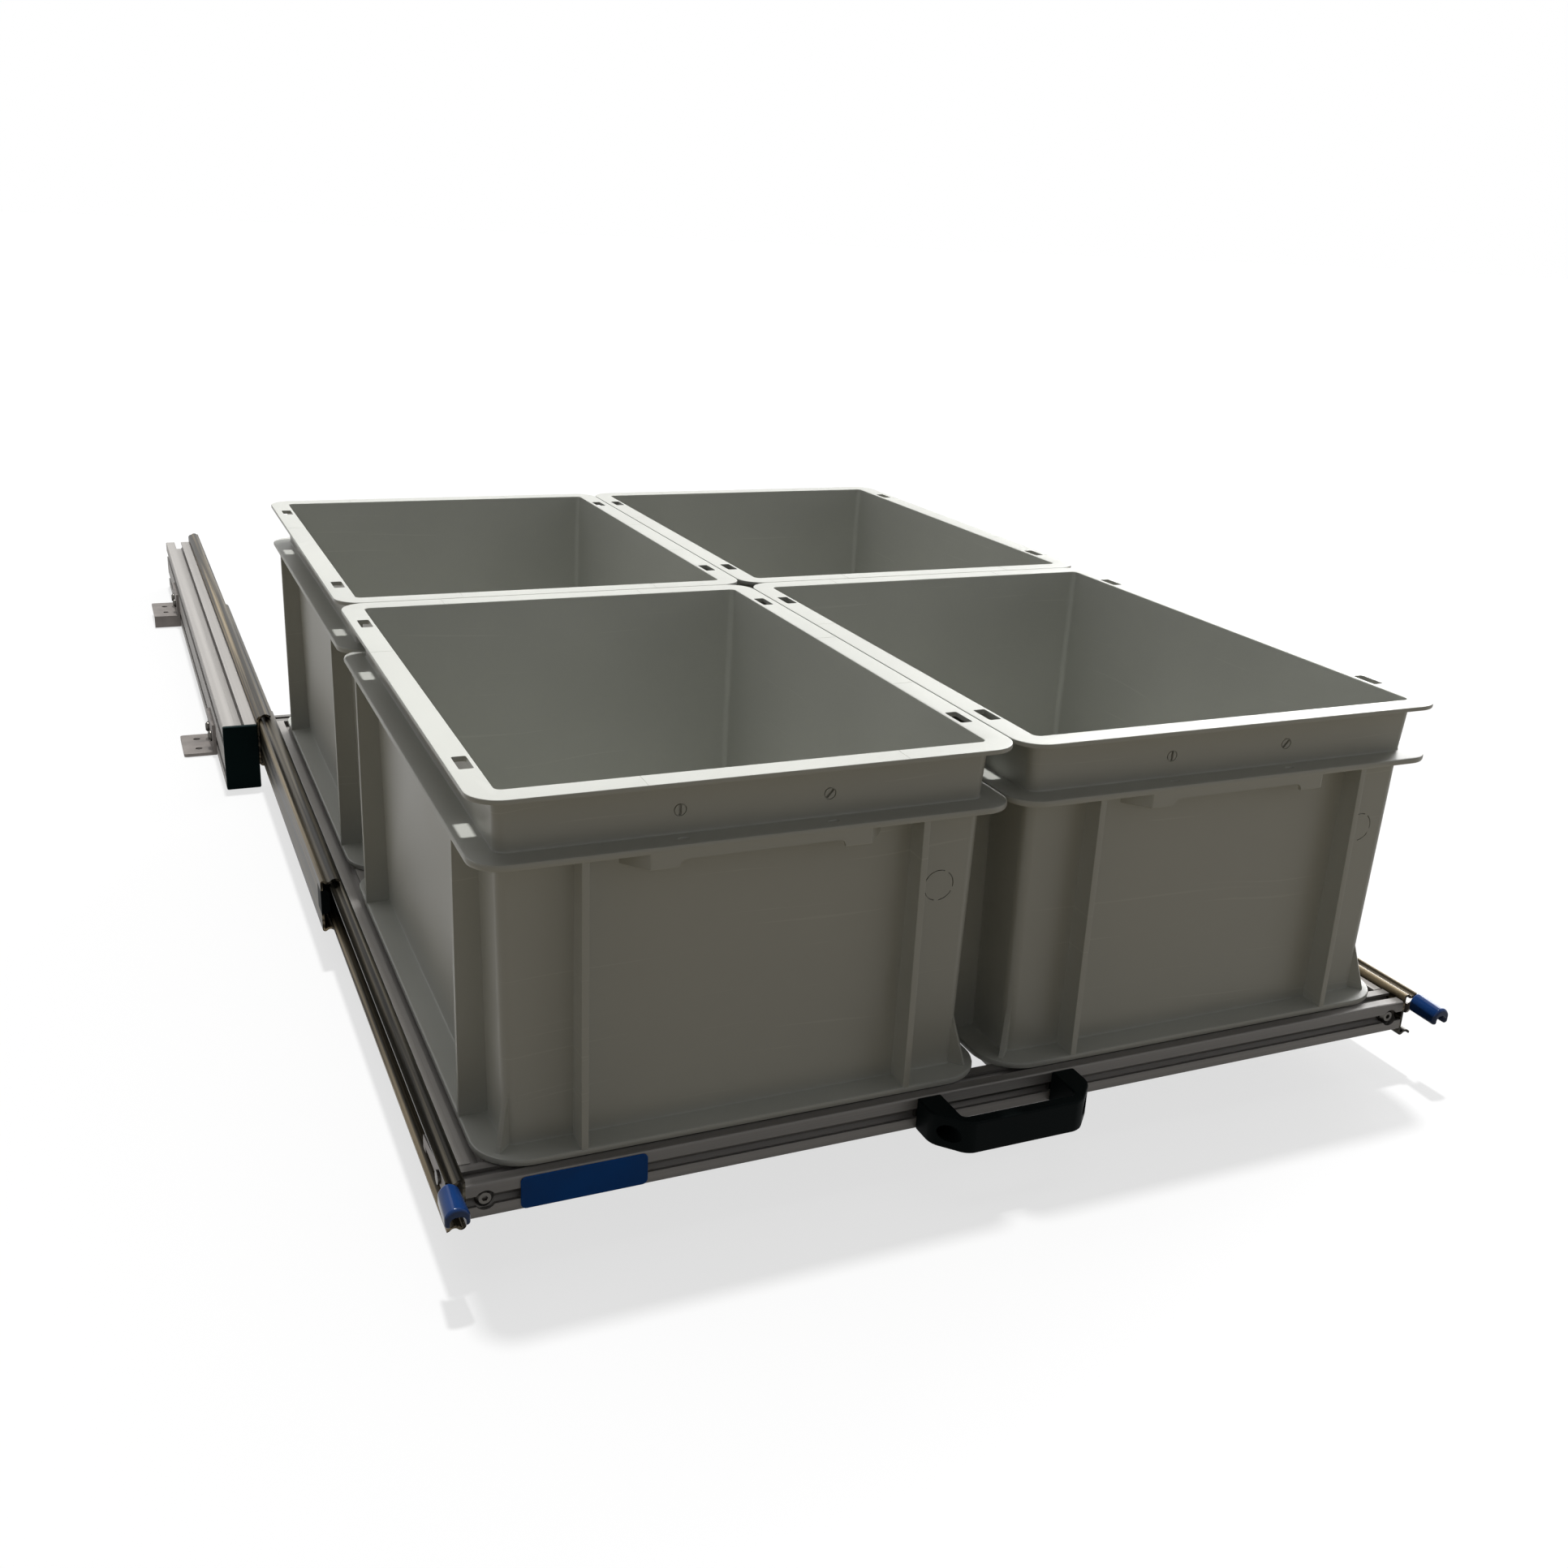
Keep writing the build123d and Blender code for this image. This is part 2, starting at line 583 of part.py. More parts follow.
pivot_y = frame_front + lever_pivot_back
pivot_z = slide_z + lever_pivot_up
arm_u = 5.5
grip_u = 2.5
for side_name, side in sides:
    with BuildPart() as arm:
        with BuildSketch(Plane(origin=(side * (frame_half + arm_u), frame_front, slide_z), x_dir=(0, 1, 0),
                               z_dir=(1, 0, 0))):
            with BuildLine():
                Polyline((-lever_out + 6, lever_low + 2.5), (-lever_out + 6, lever_low + 8), (-2, lever_low + 8),
                         (2, 6.5), (lever_pivot_back + 6, 5), (lever_arm_rear, 0), (lever_arm_rear, -8),
                         (lever_arm_rear - 6, -8), (lever_arm_rear - 6, -4.5), (lever_pivot_back - 6, -5),
                         (2, 0), (-2, lever_low + 2.5), close=True)
            make_face()
            with Locations((lever_pivot_back, lever_pivot_up)):
                Circle(lever_pin_r + pin_fit, mode=Mode.SUBTRACT)
        extrude(amount=side * lever_arm_thick)
    save(arm, f"{side_name}_lever_arm")

    with BuildPart() as grip:
        loft([section_plane(side, frame_front - lever_gap) * grip_outline(lever_wide - 2),
              section_plane(side, frame_front - lever_out) * grip_outline(lever_wide)])
        with BuildSketch(section_plane(side, frame_front)):
            with Locations((grip_u + lever_wide / 2, lever_low + (lever_tall - lever_wall) / 2 - 1)):
                Rectangle(lever_wide - 2 * lever_wall - 1, lever_tall - lever_wall + 2)
        extrude(amount=side * (lever_out - lever_wall), mode=Mode.SUBTRACT)
        with BuildSketch(section_plane(side, frame_front - lever_out - 1)):
            with BuildLine():
                arch = (lever_wide - 2 * lever_wall) / 2
                mid = grip_u + lever_wide / 2
                Polyline((mid + arch, lever_low + 3), (mid + arch, lever_low - 1), (mid - arch, lever_low - 1),
                         (mid - arch, lever_low + 3))
                ThreePointArc((mid - arch, lever_low + 3), (mid, lever_low + 3 + arch * 0.8),
                              (mid + arch, lever_low + 3))
            make_face()
        extrude(amount=-side * (lever_wall + 2), mode=Mode.SUBTRACT)
    save(grip, f"{side_name}_lever_grip")

    with BuildPart() as spring:
        with BuildSketch(Plane(origin=(side * (frame_half + arm_u - 0.6 - spring_wide), pivot_y, pivot_z),
                               x_dir=(0, 1, 0), z_dir=(1, 0, 0))):
            with BuildLine():
                loop = CenterArc((0, 0), spring_loop, 90 + spring_open / 2, 180 - spring_open)
                PolarLine(loop @ 0, spring_leg, spring_open / 2)
                PolarLine(loop @ 1, spring_leg, -spring_open / 2)
            trace(line_width=spring_strip)
        extrude(amount=side * spring_wide)
    save(spring, f"{side_name}_lever_spring")

    with BuildPart() as pin:
        with BuildSketch(Plane(origin=(side * frame_half, pivot_y, pivot_z), z_dir=(side, 0, 0))):
            Circle(lever_pin_r - 0.05)
        extrude(amount=arm_u + lever_arm_thick + 0.4)
        with BuildSketch(Plane(origin=(side * (frame_half + arm_u + lever_arm_thick + 0.4), pivot_y, pivot_z),
                               z_dir=(side, 0, 0))):
            Circle(lever_pin_r + 1.4)
        extrude(amount=1.2)
    save(pin, f"{side_name}_lever_pin")


# Stacking bin
bin_x = bin_pitch_x - bin_play
bin_y = bin_pitch_y - bin_play
open_x = bin_x - 2 * rim_width
open_y = bin_y - 2 * rim_width
flange_top = bin_height - collar_height
flange_low = flange_top - flange_thick


def level(x, y, radius, z, amount, taper=0.0, mode=Mode.ADD):
    """Rounded rectangle at height z, drawn up or down with a draft."""
    with BuildSketch(Plane.XY.offset(z)) as outline:
        RectangleRounded(x, y, radius)
    extrude(outline.sketch, amount=amount, taper=taper, mode=mode)


def draft_angle(spread, rise):
    return degrees(spread / rise)


collar_taper = draft_angle(collar_draft, collar_height)
body_taper = draft_angle(body_draft, flange_top)
body_x = open_x + 2 * bin_wall - 2 * collar_draft
body_y = open_y + 2 * bin_wall - 2 * collar_draft
foot_x = body_x - 2 * body_draft - 2 * foot_inset
foot_y = body_y - 2 * body_draft - 2 * foot_inset

with BuildPart() as bin_body:
    level(open_x + 2 * bin_wall, open_y + 2 * bin_wall, opening_radius + bin_wall, bin_height, -collar_height,
          collar_taper)
    level(body_x, body_y, body_radius, flange_top, -flange_top, body_taper)
    level(foot_x, foot_y, body_radius - foot_inset, -foot_drop, foot_drop)
    level(bin_x, bin_y, rim_radius, bin_height - rim_thick, rim_thick)
    level(bin_x, bin_y, rim_radius, flange_low, flange_thick)
    level(bin_x - 2 * ledge_inset, bin_y - 2 * ledge_inset, ledge_radius, 0, ledge_thick)
    with BuildSketch(Plane.XY.offset(ledge_thick)):
        with GridLocations(2 * front_rib_offset, 0, 2, 1):
            Rectangle(rib_thick, bin_y - 2 * ledge_inset)
        with GridLocations(0, bin_y - 2 * side_rib_inset, 1, 2):
            Rectangle(bin_x - 2 * ledge_inset, rib_thick)
    extrude(amount=flange_low - ledge_thick)
    for sx in (-1, 1):
        for sy in (-1, 1):
            corner = Vector(sx * (bin_x / 2 - ledge_radius * 0.42), sy * (bin_y / 2 - ledge_radius * 0.42), 0)
            inward = Vector(-sx, -sy, 0).normalized()
            with BuildSketch(Plane(origin=corner + Vector(0, 0, ledge_thick), x_dir=inward,
                                   z_dir=inward.cross(Vector(0, 0, 1)))):
                with BuildLine():
                    Polyline((0, 0), (ledge_radius, 0), (ledge_radius, gusset_height), (12, gusset_height), close=True)
                make_face()
            extrude(amount=gusset_thick / 2, both=True)
    for sy in (-1, 1):
        with BuildSketch(Plane(origin=(0, sy * bin_y / 2, flange_low - grip_lobe_drop), x_dir=(-sy, 0, 0),
                               z_dir=(0, 0, 1))):
            with BuildLine():
                Polyline((-grip_width / 2 - grip_splay, rim_width + 2), (-grip_width / 2, 0.3), (grip_width / 2, 0.3),
                         (grip_width / 2 + grip_splay, rim_width + 2),
                         (grip_width / 2 + grip_splay - grip_wall * 1.4, rim_width + 2),
                         (grip_width / 2 - grip_wall, grip_wall + 0.3), (-grip_width / 2 + grip_wall, grip_wall + 0.3),
                         (-grip_width / 2 - grip_splay + grip_wall * 1.4, rim_width + 2), close=True)
            make_face()
        extrude(amount=grip_lobe_drop)
        scoop = grip_width - 2 * grip_lobe
        step = grip_lobe_drop - grip_drop
        with BuildSketch(Plane(origin=(0, sy * (bin_y / 2 - 2 * grip_wall), flange_low - grip_lobe_drop),
                               x_dir=(-sy, 0, 0), z_dir=(0, sy, 0))):
            with BuildLine():
                Polyline((-scoop / 2, -1), (-scoop / 2, 0), (-scoop / 2 + step, step), (scoop / 2 - step, step),
                         (scoop / 2, 0), (scoop / 2, -1), close=True)
            make_face()
        extrude(amount=3 * grip_wall, mode=Mode.SUBTRACT)
    level(open_x, open_y, opening_radius, bin_height, -collar_height, collar_taper, Mode.SUBTRACT)
    level(body_x - 2 * bin_wall, body_y - 2 * bin_wall, inner_radius, flange_top, floor_wall - flange_top,
          body_taper, Mode.SUBTRACT)
    level(foot_x - 2 * bin_wall, foot_y - 2 * bin_wall, inner_radius, -foot_drop + floor_wall, foot_drop, 0.0,
          Mode.SUBTRACT)
    hole_x = bin_x / 2 - slot_hole_edge - slot_hole_wide / 2
    with BuildSketch(Plane.XY.offset(bin_height)):
        with GridLocations(2 * hole_x, bin_y - 2 * slot_hole_inset, 2, 2):
            RectangleRounded(slot_hole_wide, slot_hole_long, 1.2)
    extrude(amount=-(collar_height + flange_thick), mode=Mode.SUBTRACT)

for name, sx, sy in (("front_left_bin", -1, -1), ("front_right_bin", 1, -1), ("rear_left_bin", -1, 1),
                     ("rear_right_bin", 1, 1)):
    group(name, bin_body.part, [Location((sx * bin_pitch_x / 2, frame_y + sy * bin_pitch_y / 2, bin_seat))])
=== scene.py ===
import json
import math

import bpy
from bpy.props import FloatProperty, FloatVectorProperty, IntProperty, PointerProperty
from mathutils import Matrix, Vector


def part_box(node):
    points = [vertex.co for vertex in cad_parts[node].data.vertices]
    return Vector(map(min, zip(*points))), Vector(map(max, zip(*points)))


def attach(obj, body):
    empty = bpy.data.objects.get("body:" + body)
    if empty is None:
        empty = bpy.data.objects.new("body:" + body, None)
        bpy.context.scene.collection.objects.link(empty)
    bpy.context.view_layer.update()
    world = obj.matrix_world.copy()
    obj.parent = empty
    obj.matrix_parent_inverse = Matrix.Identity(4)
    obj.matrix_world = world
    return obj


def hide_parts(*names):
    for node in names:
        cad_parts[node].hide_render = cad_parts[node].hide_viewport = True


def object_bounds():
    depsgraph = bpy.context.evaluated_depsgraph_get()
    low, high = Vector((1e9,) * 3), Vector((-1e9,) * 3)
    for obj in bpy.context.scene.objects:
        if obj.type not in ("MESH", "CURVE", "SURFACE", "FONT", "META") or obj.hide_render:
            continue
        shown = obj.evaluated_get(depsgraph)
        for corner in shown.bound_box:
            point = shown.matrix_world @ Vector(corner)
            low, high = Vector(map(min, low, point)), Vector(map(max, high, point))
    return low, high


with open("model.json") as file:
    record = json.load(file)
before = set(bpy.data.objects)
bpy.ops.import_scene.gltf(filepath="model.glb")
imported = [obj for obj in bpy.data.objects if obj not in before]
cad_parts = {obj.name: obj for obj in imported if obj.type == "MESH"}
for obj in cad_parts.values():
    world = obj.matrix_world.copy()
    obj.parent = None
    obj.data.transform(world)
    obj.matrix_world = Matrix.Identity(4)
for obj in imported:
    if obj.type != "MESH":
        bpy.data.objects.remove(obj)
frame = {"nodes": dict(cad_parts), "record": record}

bl_info = {
    "name": "Pull-out bin frame",
    "version": (1, 0, 0),
    "blender": (4, 5, 0),
    "location": "3D View > Sidebar > Bin frame",
    "description": "Builds and finishes a pull-out frame with four stacking bins on ball slides",
    "category": "Object",
}

CAD_BOX = [list(corner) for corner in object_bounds()]
MM = 0.001
BINS = ("front_left_bin", "front_right_bin", "rear_left_bin", "rear_right_bin")
BEAMS_ACROSS = ("front_beam", "rear_beam", "cross_beam")

# A bin's walls below the flange
DRAFT = 1.5 * MM   # how far they stand in from the collar
LEAN = 2.6 * MM    # how far they lean in from the flange down to the ledge
LET_IN = 0.8 * MM  # how far ribs, webs and grips reach into what they join


# Sizes and colours that a user would change

class BinSizes(bpy.types.PropertyGroup):
    """Sizes of one stacking bin"""
    wall: FloatProperty(
        name="Wall", description="Thickness of the moulded wall", default=2.2 * MM, unit="LENGTH")
    rim_width: FloatProperty(
        name="Rim width", description="Width of the rim outside the opening", default=15 * MM,
        unit="LENGTH")
    rim_thick: FloatProperty(
        name="Rim thickness", description="Thickness of the rim", default=2.8 * MM, unit="LENGTH")
    collar: FloatProperty(
        name="Collar height", description="From the rim's top to the flange's top",
        default=33 * MM, unit="LENGTH")
    flange: FloatProperty(
        name="Flange thickness", description="Thickness of the flange under the collar",
        default=4 * MM, unit="LENGTH")
    foot: FloatProperty(
        name="Foot drop", description="How far the foot hangs below the ledge", default=18 * MM,
        unit="LENGTH")
    ledge: FloatProperty(
        name="Ledge thickness", description="Thickness of the bottom ledge", default=4 * MM,
        unit="LENGTH")
    rib: FloatProperty(
        name="Rib thickness", description="Thickness of the upright ribs", default=4 * MM,
        unit="LENGTH")
    corner_steps: IntProperty(
        name="Corner steps", description="Faces round each corner", default=10, min=3,
        subtype="UNSIGNED")


class FrontSizes(bpy.types.PropertyGroup):
    """Sizes of the pieces at the frame's front end"""
    handle_side: FloatProperty(
        name="Handle side", description="Depth of the handle's square sides", default=17 * MM,
        unit="LENGTH")
    handle_front: FloatProperty(
        name="Handle front", description="Length of the handle's front face", default=73 * MM,
        unit="LENGTH")
    handle_gap: FloatProperty(
        name="Finger gap", description="Opening between the handle's feet", default=74 * MM,
        unit="LENGTH")
    handle_bar: FloatProperty(
        name="Handle bar", description="Thickness of the handle's bar", default=8 * MM,
        unit="LENGTH")
    handle_foot: FloatProperty(
        name="Handle foot", description="Thickness under the screw heads", default=6.6 * MM,
        unit="LENGTH")
    screw_pocket: FloatProperty(
        name="Screw pocket", description="Radius of the handle's screw pockets",
        default=5.15 * MM, unit="LENGTH")
    grip_wall: FloatProperty(
        name="Grip wall", description="Thickness of the lever grips", default=2.4 * MM,
        unit="LENGTH")
    plate_corner: FloatProperty(
        name="Plate corner", description="Corner radius of the front plate", default=3 * MM,
        unit="LENGTH")


class FinishColours(bpy.types.PropertyGroup):
    """Base colours of the finishes"""
    bin_grey: FloatVectorProperty(
        name="Bin grey", description="Moulded grey of the bins", size=3,
        default=(0.46, 0.465, 0.43), subtype="COLOR")
    aluminium: FloatVectorProperty(
        name="Aluminium", description="Anodised slotted profiles", size=3,
        default=(0.31, 0.295, 0.278), subtype="COLOR")
    zinc: FloatVectorProperty(
        name="Zinc", description="Plated slide members", size=3,
        default=(0.042, 0.037, 0.028), subtype="COLOR")
    # Painted highlight: the colour of the tan streaks laid into the zinc along the members, in
    # place of the reflections on the rolled profile
    zinc_tan_highlight: FloatVectorProperty(
        name="Zinc tan highlight", description="Painted tan highlight streaks on the plating", size=3,
        default=(0.13, 0.104, 0.066), subtype="COLOR")
    black: FloatVectorProperty(
        name="Black", description="Handle and stops", size=3,
        default=(0.003, 0.0048, 0.005), subtype="COLOR")
    grip_blue: FloatVectorProperty(
        name="Grip blue", description="Lever grips", size=3,
        default=(0.006, 0.034, 0.135), subtype="COLOR")
    plate_blue: FloatVectorProperty(
        name="Plate blue", description="Front plate", size=3,
        default=(0.005, 0.07, 0.3), subtype="COLOR")


class StageSettings(bpy.types.PropertyGroup):
    """Camera and light"""
    lens: FloatProperty(
        name="Lens", description="Focal length on a 36 mm sensor", default=35.929,
        subtype="DISTANCE_CAMERA", unit="CAMERA")
    camera_place: FloatVectorProperty(
        name="Camera place", description="Where the camera stands", size=3,
        default=(-0.4471, -1.4628, 0.5158), subtype="TRANSLATION", unit="LENGTH")
    camera_turn: FloatVectorProperty(
        name="Camera turn", description="How the camera is turned", size=3,
        default=(math.radians(70.1048), math.radians(-2.6077), math.radians(-23.4916)),
        subtype="EULER", unit="ROTATION")
    key: FloatProperty(
        name="Key", description="Strength of the small light overhead", default=3.2, min=0.0)
    broad: FloatProperty(
        name="Broad", description="Strength of the broad light overhead", default=0.95, min=0.0)
    side: FloatProperty(
        name="Side", description="Strength of the low light from the left", default=0.1, min=0.0)
    front: FloatProperty(
        name="Front", description="Strength of the low light from the front right",
        default=0.16, min=0.0)
    window: FloatProperty(
        name="Window", description="Strength of the low light from behind right", default=2.2,
        min=0.0)
    sky: FloatProperty(
        name="Sky", description="Strength of the soft light all round", default=0.1, min=0.0,
        subtype="FACTOR")


# Where each lamp's light comes from, and its spread in degrees
LAMPS = {
    "key": ((0.05, 0.25, 1.0), 3.5),
    "broad": ((0.1, 0.5, 1.0), 70),
    "side": ((-1.0, -0.1, 0.16), 50),
    "front": ((0.9, -0.5, 0.3), 40),
    "window": ((0.8, 0.6, 0.33), 32),
}

# Base colour and roughness of the small steel pieces
STEELS = {
    "bracket_steel": ((0.165, 0.15, 0.14), 0.54),
    "cage_steel": ((0.3, 0.29, 0.27), 0.3),
    "ball_steel": ((0.6, 0.6, 0.6), 0.12),
    "spring_steel": ((0.35, 0.34, 0.32), 0.25),
    "fastener_steel": ((0.09, 0.085, 0.077), 0.36),
}


# Shader pieces

def set_inputs(node, values):
    for label, value in values.items():
        node.inputs[label.replace("_", " ")].default_value = value
    return node


def add_node(tree, kind, operation=None, **values):
    node = tree.nodes.new("ShaderNode" + kind)
    if operation:
        node.operation = operation
    return set_inputs(node, values)


def link(tree, out_node, out_name, in_node, in_name):
    tree.links.new(out_node.outputs[out_name], in_node.inputs[in_name])


def effect_group(name, inputs, outputs):
    """An empty node group with its sockets; an input is (name, type, default)."""
    group = bpy.data.node_groups.new(name, "ShaderNodeTree")
    for label, kind, value in inputs:
        socket = group.interface.new_socket(label, in_out="INPUT", socket_type=kind)
        socket.default_value = value
    for label in outputs:
        group.interface.new_socket(label, in_out="OUTPUT", socket_type="NodeSocketFloat")
    return group, group.nodes.new("NodeGroupInput"), group.nodes.new("NodeGroupOutput")


def streak_group():
    """Long fine lines along one axis, as drawing and rolling leave them, and broad bands; on the
    zinc they also place painted highlights.
    """
    group, enter, leave = effect_group(
        "Drawn lines", [("Scale", "NodeSocketVector", (900.0, 3.0, 900.0))], ["Mask", "Broad"])
    place = add_node(group, "TexCoord")
    stretch = add_node(group, "VectorMath", "MULTIPLY")
    fine = add_node(group, "TexNoise", Scale=1.0, Detail=3.0)
    wider = add_node(group, "VectorMath", "SCALE", Scale=0.12)
    broad = add_node(group, "TexNoise", Scale=1.0, Detail=2.0)
    link(group, place, "Object", stretch, 0)
    link(group, enter, "Scale", stretch, 1)
    link(group, stretch, "Vector", fine, "Vector")
    link(group, stretch, "Vector", wider, 0)
    link(group, wider, "Vector", broad, "Vector")
    link(group, fine, "Fac", leave, "Mask")
    link(group, broad, "Fac", leave, "Broad")
    return group


def grain_group():
    """Fine moulded grain with slow cloudy change."""
    group, enter, leave = effect_group(
        "Moulded grain",
        [("Grain scale", "NodeSocketFloat", 2600.0), ("Cloud scale", "NodeSocketFloat", 9.0)],
        ["Grain", "Cloud"])
    place = add_node(group, "TexCoord")
    for label, detail in (("Grain", 2.0), ("Cloud", 4.0)):
        noise = add_node(group, "TexNoise", Detail=detail)
        link(group, place, "Object", noise, "Vector")
        link(group, enter, label + " scale", noise, "Scale")
        link(group, noise, "Fac", leave, label)
    return group


def scuff_group():
    """Sparse, long, faint hairlines of use, mostly level."""
    group, enter, leave = effect_group(
        "Scuffs",
        [("Scale", "NodeSocketVector", (7.0, 7.0, 420.0)), ("Amount", "NodeSocketFloat", 0.5)],
        ["Mask"])
    place = add_node(group, "TexCoord")
    bend = add_node(group, "TexNoise", Scale=3.0)
    shift = add_node(group, "VectorMath", "MULTIPLY_ADD")
    shift.inputs[1].default_value = (0.0, 0.0, 0.05)
    stretch = add_node(group, "VectorMath", "MULTIPLY")
    lines = add_node(group, "TexNoise", Scale=1.0, Detail=1.0)
    out = add_node(group, "Math", "MULTIPLY")
    link(group, place, "Object", bend, "Vector")
    link(group, bend, "Color", shift, 0)
    link(group, place, "Object", shift, 2)
    link(group, shift, "Vector", stretch, 0)
    link(group, enter, "Scale", stretch, 1)
    link(group, stretch, "Vector", lines, "Vector")
    thin = ramp(group, lines, "Fac", 0.0, 1.0, 0.70, 0.76)
    link(group, thin, "Result", out, 0)
    link(group, enter, "Amount", out, 1)
    link(group, out, "Value", leave, "Mask")
    return group


def new_finish(name, colour, metallic, roughness, specular=0.5):
    """A material with its Principled shader set to plain values."""
    finish = bpy.data.materials.new(name)
    finish.use_nodes = True
    shader = finish.node_tree.nodes["Principled BSDF"]
    shader.inputs["Base Color"].default_value = (*colour, 1.0)
    shader.inputs["Metallic"].default_value = metallic
    shader.inputs["Roughness"].default_value = roughness
    shader.inputs["Specular IOR Level"].default_value = specular
    return finish, finish.node_tree, shader


def place_group(tree, group, **values):
    node = add_node(tree, "Group")
    node.node_tree = group
    return set_inputs(node, values)


def ramp(tree, source, output, low, high, from_low=0.0, from_high=1.0):
    """source's value, carried from between from_low and from_high to between low and high."""
    node = add_node(tree, "MapRange", From_Min=from_low, From_Max=from_high, To_Min=low,
                    To_Max=high)
    link(tree, source, output, node, "Value")
    return node


def colour_mix(tree, blend="MIX"):
    node = add_node(tree, "Mix")
    node.data_type = "RGBA"
    node.blend_type = blend
    return node


def blend_colours(tree, source, output, low, high):
    """From low to high as source's value goes from 0 to 1."""
    node = colour_mix(tree)
    node.inputs["A"].default_value = (*low, 1.0)
    node.inputs["B"].default_value = (*high, 1.0)
    link(tree, source, output, node, "Factor")
    return node


def bump(tree, shader, source, output, distance, strength):
    node = add_node(tree, "Bump", Distance=distance, Strength=strength)
    link(tree, source, output, node, "Height")
    link(tree, node, "Normal", shader, "Normal")


def shade(colour, factor):
    return tuple(min(1.0, channel * factor) for channel in colour)


def cloudy(tree, shader, grain, colour, tones, roughness, depth, strength):
    """Cloudy roughness and a fine grain of some depth; gives the node of the cloudy colour."""
    cloud = ramp(tree, grain, "Cloud", 0.0, 1.0, 0.35, 0.65)
    tone = blend_colours(tree, cloud, "Result", *(shade(colour, factor) for factor in tones))
    rough = ramp(tree, grain, "Cloud", *roughness, 0.3, 0.7)
    link(tree, rough, "Result", shader, "Roughness")
    bump(tree, shader, grain, "Grain", depth, strength)
    return tone


def lined(tree, shader, lines, roughness, strength):
    """Roughness and fine furrows that follow the drawn lines."""
    rough = ramp(tree, lines, "Mask", *roughness, 0.25, 0.75)
    link(tree, rough, "Result", shader, "Roughness")
    bump(tree, shader, lines, "Mask", 0.03 * MM, strength)


def bin_finish(colours, groups):
    """Moulded grey with faint lighter scuffs."""
    grey = colours.bin_grey
    finish, tree, shader = new_finish("Bin plastic", grey, 0.0, 0.38, 0.3)
    grain = place_group(tree, groups["grain"], Grain_scale=2200.0, Cloud_scale=7.0)
    tone = cloudy(tree, shader, grain, grey, (0.965, 1.03), (0.34, 0.46), 0.04 * MM, 0.35)
    scuff = place_group(tree, groups["scuff"], Amount=0.35)
    worn = colour_mix(tree)
    worn.inputs["B"].default_value = (*shade(grey, 1.25), 1.0)
    link(tree, tone, "Result", worn, "A")
    link(tree, scuff, "Mask", worn, "Factor")
    link(tree, worn, "Result", shader, "Base Color")
    return finish


def aluminium_finish(name, colour, groups, scale):
    """Anodised extrusion; scale stretches its drawn lines along x or y."""
    finish, tree, shader = new_finish(name, colour, 0.3, 0.5, 0.3)
    lines = place_group(tree, groups["streak"], Scale=scale)
    worn = ramp(tree, lines, "Broad", 0.0, 1.0, 0.35, 0.65)
    dull = blend_colours(tree, lines, "Mask", shade(colour, 0.7), colour)
    bright = blend_colours(tree, lines, "Mask", shade(colour, 0.85), shade(colour, 1.25))
    tone = colour_mix(tree)
    link(tree, worn, "Result", tone, "Factor")
    link(tree, dull, "Result", tone, "A")
    link(tree, bright, "Result", tone, "B")
    link(tree, tone, "Result", shader, "Base Color")
    lined(tree, shader, lines, (0.42, 0.58), 0.3)
    return finish


def zinc_finish(colours, groups):
    """Zinc plating with light and dark lines along the member, partly rolling lines and partly
    painted highlights, and tan streaks that are painted highlights.
    """
    finish, tree, shader = new_finish("Zinc steel", colours.zinc, 0.85, 0.42, 0.2)
    lines = place_group(tree, groups["streak"], Scale=(260.0, 2.0, 260.0))
    # Painted highlight: broad tan streaks mixed into the zinc colour along the member
    tan_highlight = ramp(tree, lines, "Broad", 0.0, 0.9, 0.44, 0.6)
    tone = blend_colours(tree, tan_highlight, "Result", colours.zinc, colours.zinc_tan_highlight)
    # Light and dark lines multiplied into the colour, from 0.12 to 2.6 times: partly the plating's
    # rolling lines, partly painted highlights
    contrast = ramp(tree, lines, "Mask", 0.0, 1.0, 0.46, 0.64)
    grey = blend_colours(tree, contrast, "Result", (0.12, 0.12, 0.12), (2.6, 2.6, 2.6))
    lined_and_highlit = colour_mix(tree, "MULTIPLY")
    lined_and_highlit.inputs["Factor"].default_value = 0.85
    link(tree, tone, "Result", lined_and_highlit, "A")
    link(tree, grey, "Result", lined_and_highlit, "B")
    link(tree, lined_and_highlit, "Result", shader, "Base Color")
    lined(tree, shader, lines, (0.35, 0.52), 0.25)
    return finish


def plain_metal(name, colour, groups, roughness):
    """Small turned and pressed steel pieces."""
    finish, tree, shader = new_finish(name, colour, 1.0, roughness)
    grain = place_group(tree, groups["grain"], Grain_scale=1500.0, Cloud_scale=60.0)
    tone = cloudy(tree, shader, grain, colour, (0.8, 1.08),
                  (roughness - 0.06, roughness + 0.08), 0.02 * MM, 0.2)
    link(tree, tone, "Result", shader, "Base Color")
    return finish


def grained_plastic(name, colour, groups, roughness, depth, specular):
    """Smaller moulded pieces; depth is their grain's."""
    finish, tree, shader = new_finish(name, colour, 0.0, roughness, specular)
    grain = place_group(tree, groups["grain"], Grain_scale=1900.0, Cloud_scale=30.0)
    tone = cloudy(tree, shader, grain, colour, (0.88, 1.12),
                  (roughness - 0.05, roughness + 0.07), depth, 0.5)
    link(tree, tone, "Result", shader, "Base Color")
    return finish


FINISHES = {}


